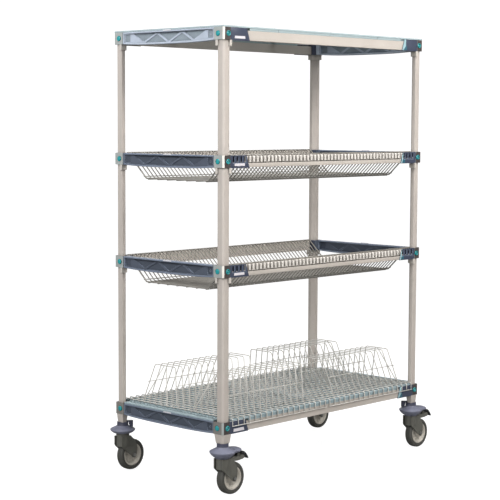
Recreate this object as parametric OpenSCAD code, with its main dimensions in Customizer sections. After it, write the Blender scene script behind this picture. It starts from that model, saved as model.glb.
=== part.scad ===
// Four-level wheeled drying and storage cart: solid top shelf, two drop-in
// wire basket shelves, and a base shelf with two wire tray racks.
// Frame: origin on the floor under the middle of the overall box, X along the
// long side, Y from front to back, Z up. Millimetres.

/* [Overall] */
// Length of the cart over the shelf corners
cart_w = 1219; // [1000:1:1500]
// Depth of the cart over the shelf corners
cart_d = 622; // [560:1:700]
// Height of the underside of the base shelf frame above the floor
base_h = 240; // [239:0.5:250]
// Height of the lower basket shelf above the base shelf
lower_rise = 602.5; // [450:0.5:700]
// Height of the upper basket shelf above the base shelf
upper_rise = 1019; // [860:0.5:1180]
// Height of the top shelf above the base shelf
top_rise = 1498.5; // [1340:0.5:1700]

/* [Shelf frames] */
// Height of a corner collar and of an end rail
collar_h = 47; // [44:1:50]
// Drop of the belly in the lower edge of an end rail
belly = 6; // [0:0.5:8]
// Length of the end moulding along the long side, at its top edge
stub_l = 126; // [100:1:150]
// Spacing of the slots in the basket shelf beams
comb_pitch = 21; // [19:0.5:26]
// Width of one slot in the basket shelf beams
slot_w = 11.5; // [8:0.5:14]

/* [Posts] */
// Length of each flat face of the post
post_l = 32; // [30:0.5:33]
// Thickness of the post where its faces end
post_t = 16; // [14:0.5:18]
// Wall thickness of the post tube
post_wall = 2.4; // [1.5:0.1:3]

/* [Baskets and racks] */
// Radius of the cross wires of a basket
wire_r = 2.2; // [1.5:0.1:2.3]
// Depth of a basket below its shelf frame
basket_drop = 57; // [30:1:70]
// Spacing of the cross wires of a tray rack
grid_pitch = 32; // [28:0.5:45]
// Spacing of the upright hoops of a tray rack
hoop_pitch = 36; // [30:0.5:50]
// Height of a hoop above the rack grid
hoop_h = 145; // [100:1:170]
// Sideways lean of a hoop from foot to top
hoop_lean = 29; // [0:1:40]

/* [Casters] */
// Wheel diameter
wheel_d = 127; // [120:1:128]
// Width of the tyre
tyre_w = 32; // [26:1:33]
// Distance from the swivel axis to the axle
trail = 42; // [38:0.5:44]
// Radius of the stem that the fork turns on
stem_r = 6; // [5:0.5:7]
// Radius of the axle
axle_r = 4; // [3:0.5:5]

/* [Hidden] */

// Corner signs and shelf levels
LEFT = -1;
RIGHT = 1;
FRONT = -1;
REAR = 1;
BASE = 0;
LOWER = 1;
UPPER = 2;
TOP = 3;
shelf_z = [base_h, base_h + lower_rise, base_h + upper_rise, base_h + top_rise];

TAUPE = [0.74, 0.70, 0.66];
COLLAR = [0.36, 0.34, 0.32];
CLIP = [0.85, 0.82, 0.77];
SLATE = [0.33, 0.38, 0.46];
TEAL = [0.16, 0.58, 0.58];
MAT = [0.72, 0.79, 0.80];
WIRE = [0.78, 0.76, 0.73];
RUBBER = [0.30, 0.30, 0.29];
HUB = [0.62, 0.60, 0.56];
FORK = [0.36, 0.35, 0.33];
BUMPER = [0.47, 0.48, 0.57];
STEM = [0.6, 0.6, 0.6];
AXLE = [0.7, 0.7, 0.7];
BLACK = [0.06, 0.06, 0.06];

seam = 0.1;            // gap between parts that meet
inset = 7;             // post faces behind the collar faces
bevel = 6;             // cut across the outer corner of post and collar
post_fit = 3.6;        // room between the post and the collar bore
face_x = 37;           // collar face along the long side
block_x = 46;          // collar block along the long side
block_y = 52;          // collar face along the end
rail_h = collar_h - 0.5;
post_bottom = base_h - 34;
post_top = shelf_z[TOP] + rail_h;
swivel_in = 21.5;      // swivel axis from each corner face
bumper_r = 51.5;
pedal_reach = 123;     // pedal tip from the swivel axis, along X
// Every caster trails toward +X, so the overall box is off the frame's middle
x_shift = (bumper_r - pedal_reach) / 2;

// ---------- placing ----------
// Local frame of a corner: origin at its outer point, X and Y pointing inward
module corner(side, end)
  translate([side * cart_w / 2, end * cart_d / 2, 0])
    mirror([side > 0 ? 1 : 0, 0, 0]) mirror([0, end > 0 ? 1 : 0, 0]) children();

module corners() for (side = [-1, 1], end = [-1, 1]) corner(side, end) children();

module at_level(level) translate([0, 0, shelf_z[level]]) children();

module front_and_rear() {
  children();
  mirror([0, 1, 0]) children();
}

// A profile drawn as (y, z), run along +X from x
module run_x(x, length) translate([x, 0, 0]) rotate([90, 0, 90]) linear_extrude(length) children();

// A profile drawn as (x, z), run along Y, centred on y
module run_y(y, length)
  translate([0, y + length / 2, 0]) rotate([90, 0, 0]) linear_extrude(length) children();

// Cylinder along Y, centred on Y = 0
module cross_cylinder(x, z, r, h, facets)
  translate([x, 0, z]) rotate([90, 0, 0]) cylinder(r = r, h = h, center = true, $fn = facets);

// Straight round rod between two points
module rod(from, to, r, facets = 16) {
  span = to - from;
  length = norm(span);
  translate(from) rotate([0, acos(span[2] / length), atan2(span[1], span[0])])
    cylinder(r = r, h = length, $fn = facets);
}

// Round wire through a list of points, with ball bends fuller by knuckle
module bent_wire(points, r, knuckle = 0) {
  for (i = [0 : len(points) - 2]) rod(points[i], points[i + 1], r);
  for (i = [1 : len(points) - 2]) translate(points[i]) sphere(r = r + knuckle, $fn = 16);
}

// ---------- posts and what clips onto them ----------
module post_2d(grow = 0)
  translate([inset, inset]) offset(delta = grow) polygon([
    [bevel, 0], [post_l, 0], [post_l, post_t],
    [post_t, post_l], [0, post_l], [0, bevel]]);

module post_round_2d() offset(r = 2.4, $fn = 24) offset(delta = -2.4) post_2d();

module post(side, end)
  color(TAUPE) corner(side, end) translate([0, 0, post_bottom])
    linear_extrude(post_top - post_bottom) difference() {
      post_round_2d();
      post_2d(-post_wall);
    }

// Split clip: a skirt below the collar that leaves the two outer faces of the
// post bare, and a tongue inside the bore of the collar
module post_wedge() {
  skirt_drop = 22;
  tongue_h = 10;
  slit_w = 1.2;
  difference() {
    union() {
      translate([0, 0, -skirt_drop]) linear_extrude(skirt_drop - seam) difference() {
        post_2d(6);
        translate([-2, -2]) square([35, inset + 2]);
        translate([-2, -2]) square([inset + 2, 35]);
        translate([-2, -2]) square([15.5, 15.5]);
      }
      translate([0, 0, -0.2]) linear_extrude(tongue_h) post_2d(post_fit - seam);
    }
    translate([0, 0, -30]) linear_extrude(60) post_2d(0.05);
    translate([inset + 24, inset + 24, -30]) rotate([0, 0, 45])
      translate([0, -slit_w / 2, 0]) cube([40, slit_w, 60]);
  }
}

module post_wedges() color(CLIP) for (level = [LOWER : TOP]) at_level(level) corners() post_wedge();

// Side view of the hooked tab: x outward from the swivel axis, z
hook_points = [
  [14, 0], [14, 4], [40, 4], [42, 2], [42, -21.5], [29.5, -16], [26, -10], [24.8, 0]];

// Tapered sleeve that closes the foot of each post, with a hooked tab on the
// inner side that hangs down over the bumper
module foot_sleeves()
  color(TAUPE) corners() {
    difference() {
      hull() {
        translate([0, 0, base_h - 1.1]) linear_extrude(1) post_2d(6.8);
        translate([0, 0, base_h - 35]) linear_extrude(1) post_2d(2.6);
      }
      translate([0, 0, base_h - 60]) linear_extrude(80) post_2d(0.05);
    }
    translate([swivel_in, swivel_in, base_h - 34.8]) rotate([0, 0, 45])
      rotate([90, 0, 0]) linear_extrude(22, center = true) polygon(hook_points);
  }

// ---------- corner collars and thumb releases ----------
button_x = 25;         // button centre on the long side
button_y = 30;         // button centre on the end
button_z = collar_h / 2;
button_r = 10.4;
opening_r = button_r + 0.4;
slide = 2.1;           // room for a button to slide, along each face

module collar()
  difference() {
    linear_extrude(collar_h) difference() {
      polygon([
        [bevel, 0], [face_x, 0], [face_x, post_fit], [block_x, post_fit],
        [block_x, block_y], [0, block_y], [0, bevel]]);
      post_2d(post_fit);
    }
    // button opening on the long side
    for (dx = [0, slide]) translate([button_x + dx, 4.5, button_z])
      rotate([90, 0, 0]) cylinder(r = opening_r, h = 8, $fn = 64);
    translate([button_x, -3, button_z - opening_r]) cube([slide, 7.5, 2 * opening_r]);
    // button opening on the end
    for (dy = [0, slide]) translate([-3, button_y + dy, button_z])
      rotate([0, 90, 0]) cylinder(r = opening_r, h = 7.5, $fn = 64);
    translate([-3, button_y, button_z - opening_r]) cube([7.5, slide, 2 * opening_r]);
  }

module corner_collars() color(COLLAR) for (z = shelf_z) translate([0, 0, z]) corners() collar();

module button_dome() {
  rise = 7.4;
  dome_r = 25.8;
  intersection() {
    cylinder(r = button_r, h = 8, $fn = 64);
    translate([0, 0, rise - dome_r]) sphere(r = dome_r, $fn = 96);
  }
}

// Thumb release: two domed buttons on one angled strip, squeezed toward the post
module release(side, end, level) {
  strip_h = 16;
  button_base = 4.2;
  color(TEAL) at_level(level) corner(side, end) {
    translate([0, 0, button_z - strip_h / 2]) linear_extrude(strip_h) intersection() {
      difference() {
        post_2d(post_fit - seam);
        post_2d(2.1);
      }
      union() {
        square([38, 6]);
        square([6, 40.3]);
        square([14, 14]);
      }
    }
    translate([button_x, button_base, button_z]) rotate([90, 0, 0]) button_dome();
    translate([button_base, button_y, button_z]) rotate([0, -90, 0]) button_dome();
  }
}

// ---------- slots along the basket shelves ----------
comb_x = 50.5;         // first slot, from the corner face
comb_run = cart_w - 2 * comb_x - slot_w;
comb_n = 1 + round(comb_run / comb_pitch);
comb_step = comb_run / (comb_n - 1);
slot_z = 20;           // floor of a slot

// ---------- end mouldings ----------
rail_half = cart_d / 2 - block_y - seam;
rib_half = rail_half - 46;   // outermost upright ribs
rib_t = 3.6;
stub_foot = stub_l + 16;     // length along the long side, at the lower edge

function belly_z(y) = -belly * (1 - pow(abs(y) / rail_half, 3));

module rail_2d() polygon(concat(
  [for (i = [0 : 24]) let (y = -rail_half + 2 * rail_half * i / 24) [y, belly_z(y)]],
  [[rail_half, rail_h], [-rail_half, rail_h]]));

// Corner i of the zigzag of slanting ribs
function rib_point(i) = [-rib_half + 2 * rib_half * i / 6, i % 2 == 0 ? collar_h - 7 : 0];

module rail_ribs_2d() intersection() {
  offset(delta = -1) rail_2d();
  union() {
    for (i = [0 : 5]) let (start = rib_point(i), span = rib_point(i + 1) - start)
      translate(start) rotate(atan2(span[1], span[0]))
        translate([-3, -rib_t / 2]) square([norm(span) + 6, rib_t]);
    for (s = [-1, 1]) translate([s * rib_half - rib_t / 2, -8]) square([rib_t, collar_h]);
  }
}

module stub_2d() polygon([
  [face_x + seam, 0.1], [block_x + seam, 0.1], [block_x + seam, -1.5], [stub_foot, -1.5],
  [stub_foot, 0.4], [stub_l, rail_h], [face_x + seam, rail_h]]);

module end_moulding(slots)
  translate([-cart_w / 2, 0, 0]) {
    // rail, recessed on its outer and inner faces
    difference() {
      run_x(1, 26) rail_2d();
      run_x(0, 8) offset(delta = -5) rail_2d();
      run_x(11, 20) offset(delta = -4) rail_2d();
    }
    run_x(3.5, 5) rail_ribs_2d();
    // tab on the upper edge
    translate([0, -21, collar_h - 2]) cube([1.8, 42, 3.5]);
    for (s = [-1, 1]) {
      // walls around the inner sides of the collar block
      translate([1, s * rail_half - (s > 0 ? 3 : 0), 0]) cube([block_x + 3, 3, rail_h]);
      mirror([0, s > 0 ? 1 : 0, 0]) translate([0, -cart_d / 2, 0]) {
        translate([block_x + seam, 1, 0]) cube([3.9, block_y + 1, rail_h]);
        // stub along the long side, with a ledge under the beam
        difference() {
          run_y(2.25, 2.5) stub_2d();
          if (slots) for (i = [0 : floor((stub_l - comb_x - slot_w) / comb_step)])
            translate([comb_x + i * comb_step, -1, slot_z]) cube([slot_w, 6, 23]);
        }
        translate([block_x + seam, 1, -1.5]) cube([stub_l - block_x + 9, 9, 1.9]);
      }
    }
  }

module end_rails(level, slots = false) color(SLATE) at_level(level) {
  end_moulding(slots);
  mirror([1, 0, 0]) end_moulding(slots);
}

// ---------- long beams ----------
beam_x = block_x + 4.1;      // beam end, from the corner face

// Runs a (y, z) profile between the collars, y from the front face of the cart
module beam_run() run_x(-cart_w / 2 + beam_x, cart_w - 2 * beam_x) children();

module flat_beam() translate([0, -cart_d / 2, 0]) beam_run() difference() {
  translate([3.6, 0.6]) square([22.4, 37.3]);
  translate([6.2, 3.2]) square([17.2, 32.1]);
}

module comb_beam()
  translate([0, -cart_d / 2, 0]) difference() {
    beam_run() difference() {
      translate([3.6, 0.6]) square([22.4, 43.4]);
      translate([3, 16.5]) square([2.6, 2]);
      translate([13.5, -1]) square([9.5, 40]);
    }
    for (i = [0 : comb_n - 1])
      translate([-cart_w / 2 + comb_x + i * comb_step, 3, slot_z]) cube([slot_w, 8, 30]);
    // clears the slivers between the end slots and the beam ends
    for (s = [-1, 1]) translate([s * (cart_w / 2 - comb_x) - 2, 3, slot_z]) cube([4, 8, 30]);
  }

module flat_side_beams(level) color(TAUPE) at_level(level) front_and_rear() flat_beam();

module basket_side_beams()
  color(TAUPE) for (level = [LOWER, UPPER]) at_level(level) front_and_rear() comb_beam();

// ---------- mats ----------
mat_t = 6;
mat_top = collar_h + seam + mat_t;   // above the shelf level
mat_n = 4;
mat_edge = 2;          // mats stop this far inside the cart outline
mat_gap = 0.4;         // taken off each side of a mat
strip_y = [3.6, 18];   // strips under the mat, from the long faces
strip_z = 38;
strip_end = stub_foot + 2;
hole_w = 10;
hole_pitch = 24;
hole_rows = 4;
hole_run = (cart_d - 100) / hole_rows;

module mat_deck(corner_cuts) {
  mat_l = (cart_w - 2 * mat_edge) / mat_n;
  hole_n = floor((mat_l - 110) / hole_pitch);
  for (i = [0 : mat_n - 1]) let (mat_x = -cart_w / 2 + mat_edge + i * mat_l) difference() {
    union() {
      translate([mat_x + mat_gap, -cart_d / 2 + mat_edge, collar_h + seam])
        cube([mat_l - 2 * mat_gap, cart_d - 2 * mat_edge, mat_t]);
      strip_from = max(mat_x + mat_gap, -cart_w / 2 + strip_end);
      strip_to = min(mat_x + mat_l - mat_gap, cart_w / 2 - strip_end);
      for (flip = [0, 1], y = strip_y) mirror([0, flip, 0])
        translate([strip_from, -cart_d / 2 + y, strip_z])
          cube([strip_to - strip_from, 6, collar_h + 1 - strip_z]);
    }
    if (corner_cuts) for (sx = [-1, 1], sy = [-1, 1])
      translate([sx > 0 ? cart_w / 2 - 48 : -cart_w / 2, sy > 0 ? cart_d / 2 - 54 : -cart_d / 2, 0])
        cube([48, 54, 80]);
    // long holes, in rows from front to back
    hole_x = mat_x + mat_l / 2 - (hole_n - 1) * hole_pitch / 2 - hole_w / 2;
    for (j = [0 : hole_n - 1], row = [0 : hole_rows - 1])
      translate([hole_x + j * hole_pitch, -cart_d / 2 + 60 + row * hole_run, 0])
        cube([hole_w, hole_run - 20, 80]);
  }
}

module shelf_mats(level, corner_cuts) color(MAT) at_level(level) mat_deck(corner_cuts);

// ---------- baskets ----------
basket_x = cart_w / 2 - 53.5;    // half length
rim_y = cart_d / 2 - 28;         // half width at the rim
floor_y = cart_d / 2 - 134;      // half width at the floor
rim_z = 45;
floor_z = -basket_drop + 3.5;
frame_r = 3;                     // rim rods and end frames
long_r = 2;                      // long rods under the cross wires
floor_rods = 7;
side_rod_at = 0.1;               // side rod's place on the slope, floor to rim

// Rod along the whole basket, between the end frames
module long_rod(y, z, r, facets) {
  reach = basket_x - frame_r - seam;
  rod([-reach, y, z], [reach, y, z], r, facets);
}

module basket_rods(level) {
  below = wire_r + long_r + 0.02;    // long rods lie just outside the cross wires
  slope = [rim_y - floor_y, rim_z - floor_z];
  unit = slope / norm(slope);
  side_y = floor_y + side_rod_at * slope[0] + below * unit[1];
  side_z = floor_z + side_rod_at * slope[1] - below * unit[0];
  color(WIRE) at_level(level) {
    for (s = [-1, 1]) {
      long_rod(s * (cart_d / 2 - 20), 47.1, frame_r, 32);
      long_rod(s * side_y, side_z, long_r, 24);
    }
    // end frames, in straight lengths
    for (x = [-basket_x, basket_x]) {
      for (s = [-1, 1])
        rod([x, s * (floor_y + 3.2), floor_z], [x, s * (rim_y - 0.6), rim_z - 1.5], frame_r, 32);
      rod([x, -floor_y + 1, floor_z - 0.5], [x, floor_y - 1, floor_z - 0.5], frame_r, 32);
    }
    for (i = [0 : floor_rods - 1])
      long_rod(-floor_y + 12 + i * (2 * floor_y - 24) / (floor_rods - 1), floor_z - below, long_r, 24);
  }
}

// One cross wire behind every slot of the beams but the end ones
module basket_wires(level)
  color(WIRE) at_level(level)
    for (i = [1 : comb_n - 2]) let (x = -cart_w / 2 + comb_x + slot_w / 2 + i * comb_step)
      bent_wire([[x, -rim_y, rim_z], [x, -floor_y, floor_z], [x, floor_y, floor_z], [x, rim_y, rim_z]],
        wire_r, knuckle = 0.15);

// ---------- tray racks ----------
rack_x = -cart_w / 2 + 52;       // first cross wire
rack_n = floor((cart_w / 2 - 60) / grid_pitch);
rack_r = 1.6;                    // grid and spacer wires
rack_leg_y = cart_d / 2 + 1.7;   // cross wires turn down outside the shelf
rack_leg_z = 27;                 // lower end of a leg
rack_bend = 4;
long_pitch = 34;                 // spacing of the long grid wires
hoop_r = 2;
hoop_rows = [-163.5, 128.5];     // y of the middle of each row
hoop_foot = 98;                  // half width at the foot
hoop_top = 60;                   // half width at the top

module half_shelf_rack() {
  long_z = mat_top + rack_r + 0.05;
  cross_z = long_z + 2 * rack_r + 0.03;
  hoop_z = cross_z + rack_r + 0.05;
  from_x = rack_x - 3;
  to_x = rack_x + rack_n * grid_pitch + 3;
  for (i = [0 : rack_n]) let (x = rack_x + i * grid_pitch, y = rack_leg_y)
    bent_wire([
      [x, -y, rack_leg_z], [x, -y, cross_z - rack_bend], [x, -y + rack_bend, cross_z],
      [x, y - rack_bend, cross_z], [x, y, cross_z - rack_bend], [x, y, rack_leg_z]], rack_r);
  long_n = floor((cart_d - 30) / long_pitch);
  for (j = [0 : long_n]) let (y = (j - long_n / 2) * long_pitch)
    rod([from_x, y, long_z], [to_x, y, long_z], rack_r);
  // long wires joining the feet of the legs
  for (s = [-1, 1]) let (y = s * (rack_leg_y + 2 * rack_r + 0.03), z = rack_leg_z + rack_r)
    rod([from_x, y, z], [to_x, y, z], rack_r);
  // two rows of leaning hoops
  hoop_x = rack_x + 30;
  hoop_n = floor((cart_w / 2 - 150) / hoop_pitch);
  for (row = hoop_rows) {
    for (i = [0 : hoop_n]) let (x = hoop_x + i * hoop_pitch, top_x = x + hoop_lean) {
      for (s = [-1, 1])
        rod([x, row + s * hoop_foot, hoop_z + 0.6],
          [top_x, row + s * hoop_top, hoop_z + hoop_h - 4.2], hoop_r);
      rod([top_x, row - hoop_top - 2, hoop_z + hoop_h],
        [top_x, row + hoop_top + 2, hoop_z + hoop_h], hoop_r);
    }
    // spacer wires half way up
    for (s = [-1, 1]) let (
      x = hoop_x + hoop_lean / 2,
      y = row + s * ((hoop_foot + hoop_top) / 2 + 4.2),
      z = hoop_z + hoop_h / 2)
      rod([x - 4, y, z], [x + hoop_n * hoop_pitch + 4, y, z], rack_r);
  }
}

module tray_rack(side)
  color(WIRE) at_level(BASE) mirror([side > 0 ? 1 : 0, 0, 0]) half_shelf_rack();

// ---------- casters ----------
wheel_r = wheel_d / 2;
crown_z = 146;         // top of the fork
flange_z = 121;        // foot of the stem
bumper_top = base_h - 35.2;
bumper_bore = stem_r + 0.1;
arm_y = 21.5;          // middle of a fork arm
arm_t = 5;
fork_w = 40;           // fork blocks and pedal plate
pivot_x = 74;          // pedal pin
pivot_z = 151;
pin_r = 2.5;
hub_r = 47;

// Local frame of a caster: Z is the swivel axis, the wheel trails toward +X
module at_caster(side, end)
  translate([side * (cart_w / 2 - swivel_in), end * (cart_d / 2 - swivel_in), 0]) children();

// Turns children drawn about Z onto the axle
module on_axle(side, end)
  at_caster(side, end) translate([trail, 0, wheel_r]) rotate([90, 0, 0]) children();

// Plug in the foot of each post, and the flanged stem below it
module caster_stems() color(STEM) corners() {
  translate([0, 0, post_bottom]) linear_extrude(50) post_2d(-post_wall - seam);
  translate([swivel_in, swivel_in, flange_z]) {
    cylinder(r = stem_r, h = post_bottom + 1 - flange_z, $fn = 48);
    cylinder(r = stem_r + 4, h = 4.9, $fn = 48);
  }
}

// Bumper profiles: radius, z. The front one has a flat-bottomed wide rim.
front_bumper_points = [
  [bumper_bore, crown_z + 0.05], [27, crown_z + 0.05], [28.5, 148.5], [36, 152], [45, 160],
  [50, 167], [bumper_r, 171.5], [50.5, 174.5], [38, 181], [27, 186.5], [23, 190],
  [23, bumper_top], [bumper_bore, bumper_top]];
// The rear one ends below on a short plain sleeve
rear_bumper_points = [
  [bumper_bore, crown_z + 0.5], [27, crown_z + 0.5], [27, 158.5], [33.5, 158.8], [42, 162],
  [49, 168], [bumper_r, 173], [50.5, 176], [38, 182], [27, 187.5], [23, 191],
  [23, bumper_top], [bumper_bore, bumper_top]];

module rear_bumpers()
  color(BUMPER) for (side = [LEFT, RIGHT]) corner(side, REAR)
    translate([swivel_in, swivel_in, 0]) rotate_extrude($fn = 96) polygon(rear_bumper_points);

module cover_2d(r, end_x = 54) hull() for (x = [44, end_x]) translate([x, 0]) circle(r = r, $fn = 48);

// Bumper of a braked caster: its rim runs out over the brake pedal
module caster_cover(side) color(BUMPER) at_caster(side, FRONT) {
  rotate_extrude($fn = 96) polygon(front_bumper_points);
  hull() {
    translate([0, 0, 165]) linear_extrude(1) cover_2d(31);
    translate([0, 0, 169.5]) linear_extrude(3.5) cover_2d(35);
    translate([0, 0, 180]) linear_extrude(1) cover_2d(21, 47);
  }
}

// Side views, as x from the swivel axis and z
fork_arm_points = [
  [-25, crown_z], [-25, 109], [-20, 102.5], [8.5, wheel_r + 14], [33, wheel_r - 8],
  [trail + 4, wheel_r - 11], [53.5, wheel_r - 3.5], [57, wheel_r + 12.5],
  [58.5, wheel_r + 26.5], [57, wheel_r + 38.5], [52.5, wheel_r + 49.5], [46, 123],
  [trail, 129], [36, 134.5], [29, 139.5], [25, crown_z]];
rear_block_points = [[15, 131], [15, crown_z], [24, crown_z], [28, 139], [35, 134], [38, 131]];
front_block_points = [
  [20, 130], [20, crown_z], [82, crown_z], [86, 148.6], [94, 148], [99, 143], [100, 137],
  [94, 133], [70, 130]];
pedal_ear_points = [
  [67, crown_z - 2], [67, 152], [70, 156], [78, 156], [81, 152], [81, crown_z - 2]];
pedal_neck_points = [[74, 147], [74, 156], [86, 161], [88, 157]];
pedal_plate_points = [
  [84, 156], [84, 161], [92, 163.5], [100, 160], [109, 152], [117, 142], [pedal_reach, 131],
  [118.5, 130], [112.5, 140], [105, 148.5], [97, 155.5], [91, 158]];

module fork_arm_2d() {
  polygon(fork_arm_points);
  translate([trail, wheel_r]) circle(r = 12, $fn = 64);
}

module caster_fork(side, end) color(FORK) at_caster(side, end) difference() {
  union() {
    // crown, hollowed for the wheel
    difference() {
      translate([0, 0, 104]) cylinder(r = 26, h = crown_z - 104, $fn = 96);
      cross_cylinder(trail, wheel_r, wheel_r + 3, 38, 96);
    }
    for (s = [-1, 1]) run_y(s * arm_y, arm_t) fork_arm_2d();
    if (end == REAR) run_y(0, fork_w) polygon(rear_block_points);
    if (end == FRONT) {
      run_y(0, fork_w) polygon(front_block_points);
      // ears and pin for the brake pedal
      for (s = [-1, 1]) run_y(s * 11.5, 5) polygon(pedal_ear_points);
      cross_cylinder(pivot_x, pivot_z, pin_r, 24, 32);
    }
  }
  // bores for the stem, its flange and the axle
  translate([0, 0, 90]) cylinder(r = stem_r + 0.05, h = 80, $fn = 48);
  translate([0, 0, 90]) cylinder(r = stem_r + 5, h = 36, $fn = 48);
  cross_cylinder(trail, wheel_r, axle_r + 0.02, 80, 48);
}

module caster_axle(side, end) {
  nut_h = 4.5;
  nut_z = arm_y + arm_t / 2 + 0.05;
  color(AXLE) on_axle(side, end) {
    cylinder(r = axle_r, h = 54, center = true, $fn = 48);
    for (z = [nut_z, -nut_z - nut_h]) translate([0, 0, z]) cylinder(r = 7.5, h = nut_h, $fn = 6);
  }
}

// Wheel profiles: radius, place along the axle
module wheel_hub(side, end) color(HUB) on_axle(side, end)
  rotate_extrude($fn = 96) let (bore = axle_r + 0.05, rim = hub_r - 0.02) polygon([
    [bore, -18], [11, -18], [13, -7], [30, -4], [38, -10], [41, -13.5], [rim, -13.5],
    [rim, 13.5], [41, 13.5], [38, 10], [30, 4], [13, 7], [11, 18], [bore, 18]]);

module wheel_tyre(side, end) color(RUBBER) on_axle(side, end)
  rotate_extrude($fn = 96) let (half = tyre_w / 2) polygon([
    [hub_r, -half + 2], [hub_r + 2, -half], [wheel_r - 6, -half], [wheel_r - 2, -half + 3],
    [wheel_r - 0.4, -half + 8], [wheel_r, -4], [wheel_r, 4], [wheel_r - 0.4, half - 8],
    [wheel_r - 2, half - 3], [wheel_r - 6, half], [hub_r + 2, half], [hub_r, half - 2]]);

module brake_pedal(side) color(BLACK) at_caster(side, FRONT) difference() {
  union() {
    run_y(0, 17.8) union() {
      translate([pivot_x, pivot_z]) circle(r = 4.7, $fn = 48);
      polygon(pedal_neck_points);
    }
    run_y(0, fork_w) polygon(pedal_plate_points);
  }
  cross_cylinder(pivot_x, pivot_z, pin_r + 0.05, 40, 32);
}

// ---------- drawing ----------
translate([x_shift, 0, 0]) {
post(LEFT, FRONT);  // post_front_left
post(RIGHT, FRONT);  // post_front_right
post(LEFT, REAR);  // post_rear_left
post(RIGHT, REAR);  // post_rear_right
end_rails(BASE);  // base_end_rails
end_rails(LOWER, slots = true);  // lower_end_rails
end_rails(UPPER, slots = true);  // upper_end_rails
end_rails(TOP);  // top_end_rails
flat_side_beams(BASE);  // base_side_beams
basket_side_beams();
flat_side_beams(TOP);  // top_side_beams
corner_collars();
post_wedges();
foot_sleeves();
rear_bumpers();
caster_cover(LEFT);  // caster_cover_front_left
caster_cover(RIGHT);  // caster_cover_front_right
caster_stems();
shelf_mats(TOP, corner_cuts = false);  // top_shelf_mats
shelf_mats(BASE, corner_cuts = true);  // base_shelf_mats
basket_rods(UPPER);  // upper_basket_rods
basket_wires(UPPER);  // upper_basket_wires
basket_rods(LOWER);  // lower_basket_rods
basket_wires(LOWER);  // lower_basket_wires
tray_rack(LEFT);  // tray_rack_left
tray_rack(RIGHT);  // tray_rack_right
caster_fork(LEFT, FRONT);  // caster_fork_front_left
caster_fork(RIGHT, FRONT);  // caster_fork_front_right
caster_fork(LEFT, REAR);  // caster_fork_rear_left
caster_fork(RIGHT, REAR);  // caster_fork_rear_right
caster_axle(LEFT, FRONT);  // caster_axle_front_left
caster_axle(RIGHT, FRONT);  // caster_axle_front_right
caster_axle(LEFT, REAR);  // caster_axle_rear_left
caster_axle(RIGHT, REAR);  // caster_axle_rear_right
wheel_hub(LEFT, FRONT);  // wheel_hub_front_left
wheel_hub(RIGHT, FRONT);  // wheel_hub_front_right
wheel_hub(LEFT, REAR);  // wheel_hub_rear_left
wheel_hub(RIGHT, REAR);  // wheel_hub_rear_right
wheel_tyre(LEFT, FRONT);  // wheel_tyre_front_left
wheel_tyre(RIGHT, FRONT);  // wheel_tyre_front_right
wheel_tyre(LEFT, REAR);  // wheel_tyre_rear_left
wheel_tyre(RIGHT, REAR);  // wheel_tyre_rear_right
brake_pedal(LEFT);  // brake_pedal_front_left
brake_pedal(RIGHT);  // brake_pedal_front_right
release(LEFT, FRONT, BASE);  // release_base_front_left
release(RIGHT, FRONT, BASE);  // release_base_front_right
release(LEFT, REAR, BASE);  // release_base_rear_left
release(RIGHT, REAR, BASE);  // release_base_rear_right
release(LEFT, FRONT, LOWER);  // release_lower_front_left
release(RIGHT, FRONT, LOWER);  // release_lower_front_right
release(LEFT, REAR, LOWER);  // release_lower_rear_left
release(RIGHT, REAR, LOWER);  // release_lower_rear_right
release(LEFT, FRONT, UPPER);  // release_upper_front_left
release(RIGHT, FRONT, UPPER);  // release_upper_front_right
release(LEFT, REAR, UPPER);  // release_upper_rear_left
release(RIGHT, REAR, UPPER);  // release_upper_rear_right
release(LEFT, FRONT, TOP);  // release_top_front_left
release(RIGHT, FRONT, TOP);  // release_top_front_right
release(LEFT, REAR, TOP);  // release_top_rear_left
release(RIGHT, REAR, TOP);  // release_top_rear_right
}
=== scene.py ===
"""A four-level wire-basket cart on casters.

X runs along its width, Y along its depth with the front towards -Y, and Z is up from the
floor. Lengths are in millimetres until a mesh is made; materials, lights and camera use metres.
Most pieces are drawn about X = 0 and moved to the cart's own middle in Shells.mesh.
"""
import math

import bmesh
import bpy
import numpy as np
from mathutils import Matrix, Vector
from mathutils.geometry import delaunay_2d_cdt

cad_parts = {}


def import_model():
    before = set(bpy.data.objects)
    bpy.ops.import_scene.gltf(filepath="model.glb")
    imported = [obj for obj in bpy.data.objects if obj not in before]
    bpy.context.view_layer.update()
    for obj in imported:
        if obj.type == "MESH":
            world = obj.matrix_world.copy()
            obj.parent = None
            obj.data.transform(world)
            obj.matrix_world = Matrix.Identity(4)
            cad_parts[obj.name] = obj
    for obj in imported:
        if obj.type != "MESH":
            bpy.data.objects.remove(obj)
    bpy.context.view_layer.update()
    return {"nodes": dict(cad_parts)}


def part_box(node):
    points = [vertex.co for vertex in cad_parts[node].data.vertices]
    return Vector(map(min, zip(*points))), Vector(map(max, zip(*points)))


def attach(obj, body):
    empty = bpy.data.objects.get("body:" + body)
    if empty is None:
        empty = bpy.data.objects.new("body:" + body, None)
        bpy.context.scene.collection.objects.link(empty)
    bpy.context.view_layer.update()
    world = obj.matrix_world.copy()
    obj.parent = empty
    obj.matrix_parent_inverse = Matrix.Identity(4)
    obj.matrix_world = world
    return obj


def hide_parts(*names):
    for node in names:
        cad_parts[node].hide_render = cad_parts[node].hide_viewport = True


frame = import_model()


# ------------------------------------------------------------------ driving sizes (mm)
def box_mm(node):
    """Low and high corners of a CAD node."""
    low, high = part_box(node)
    return [v * 1000 for v in low], [v * 1000 for v in high]


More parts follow.
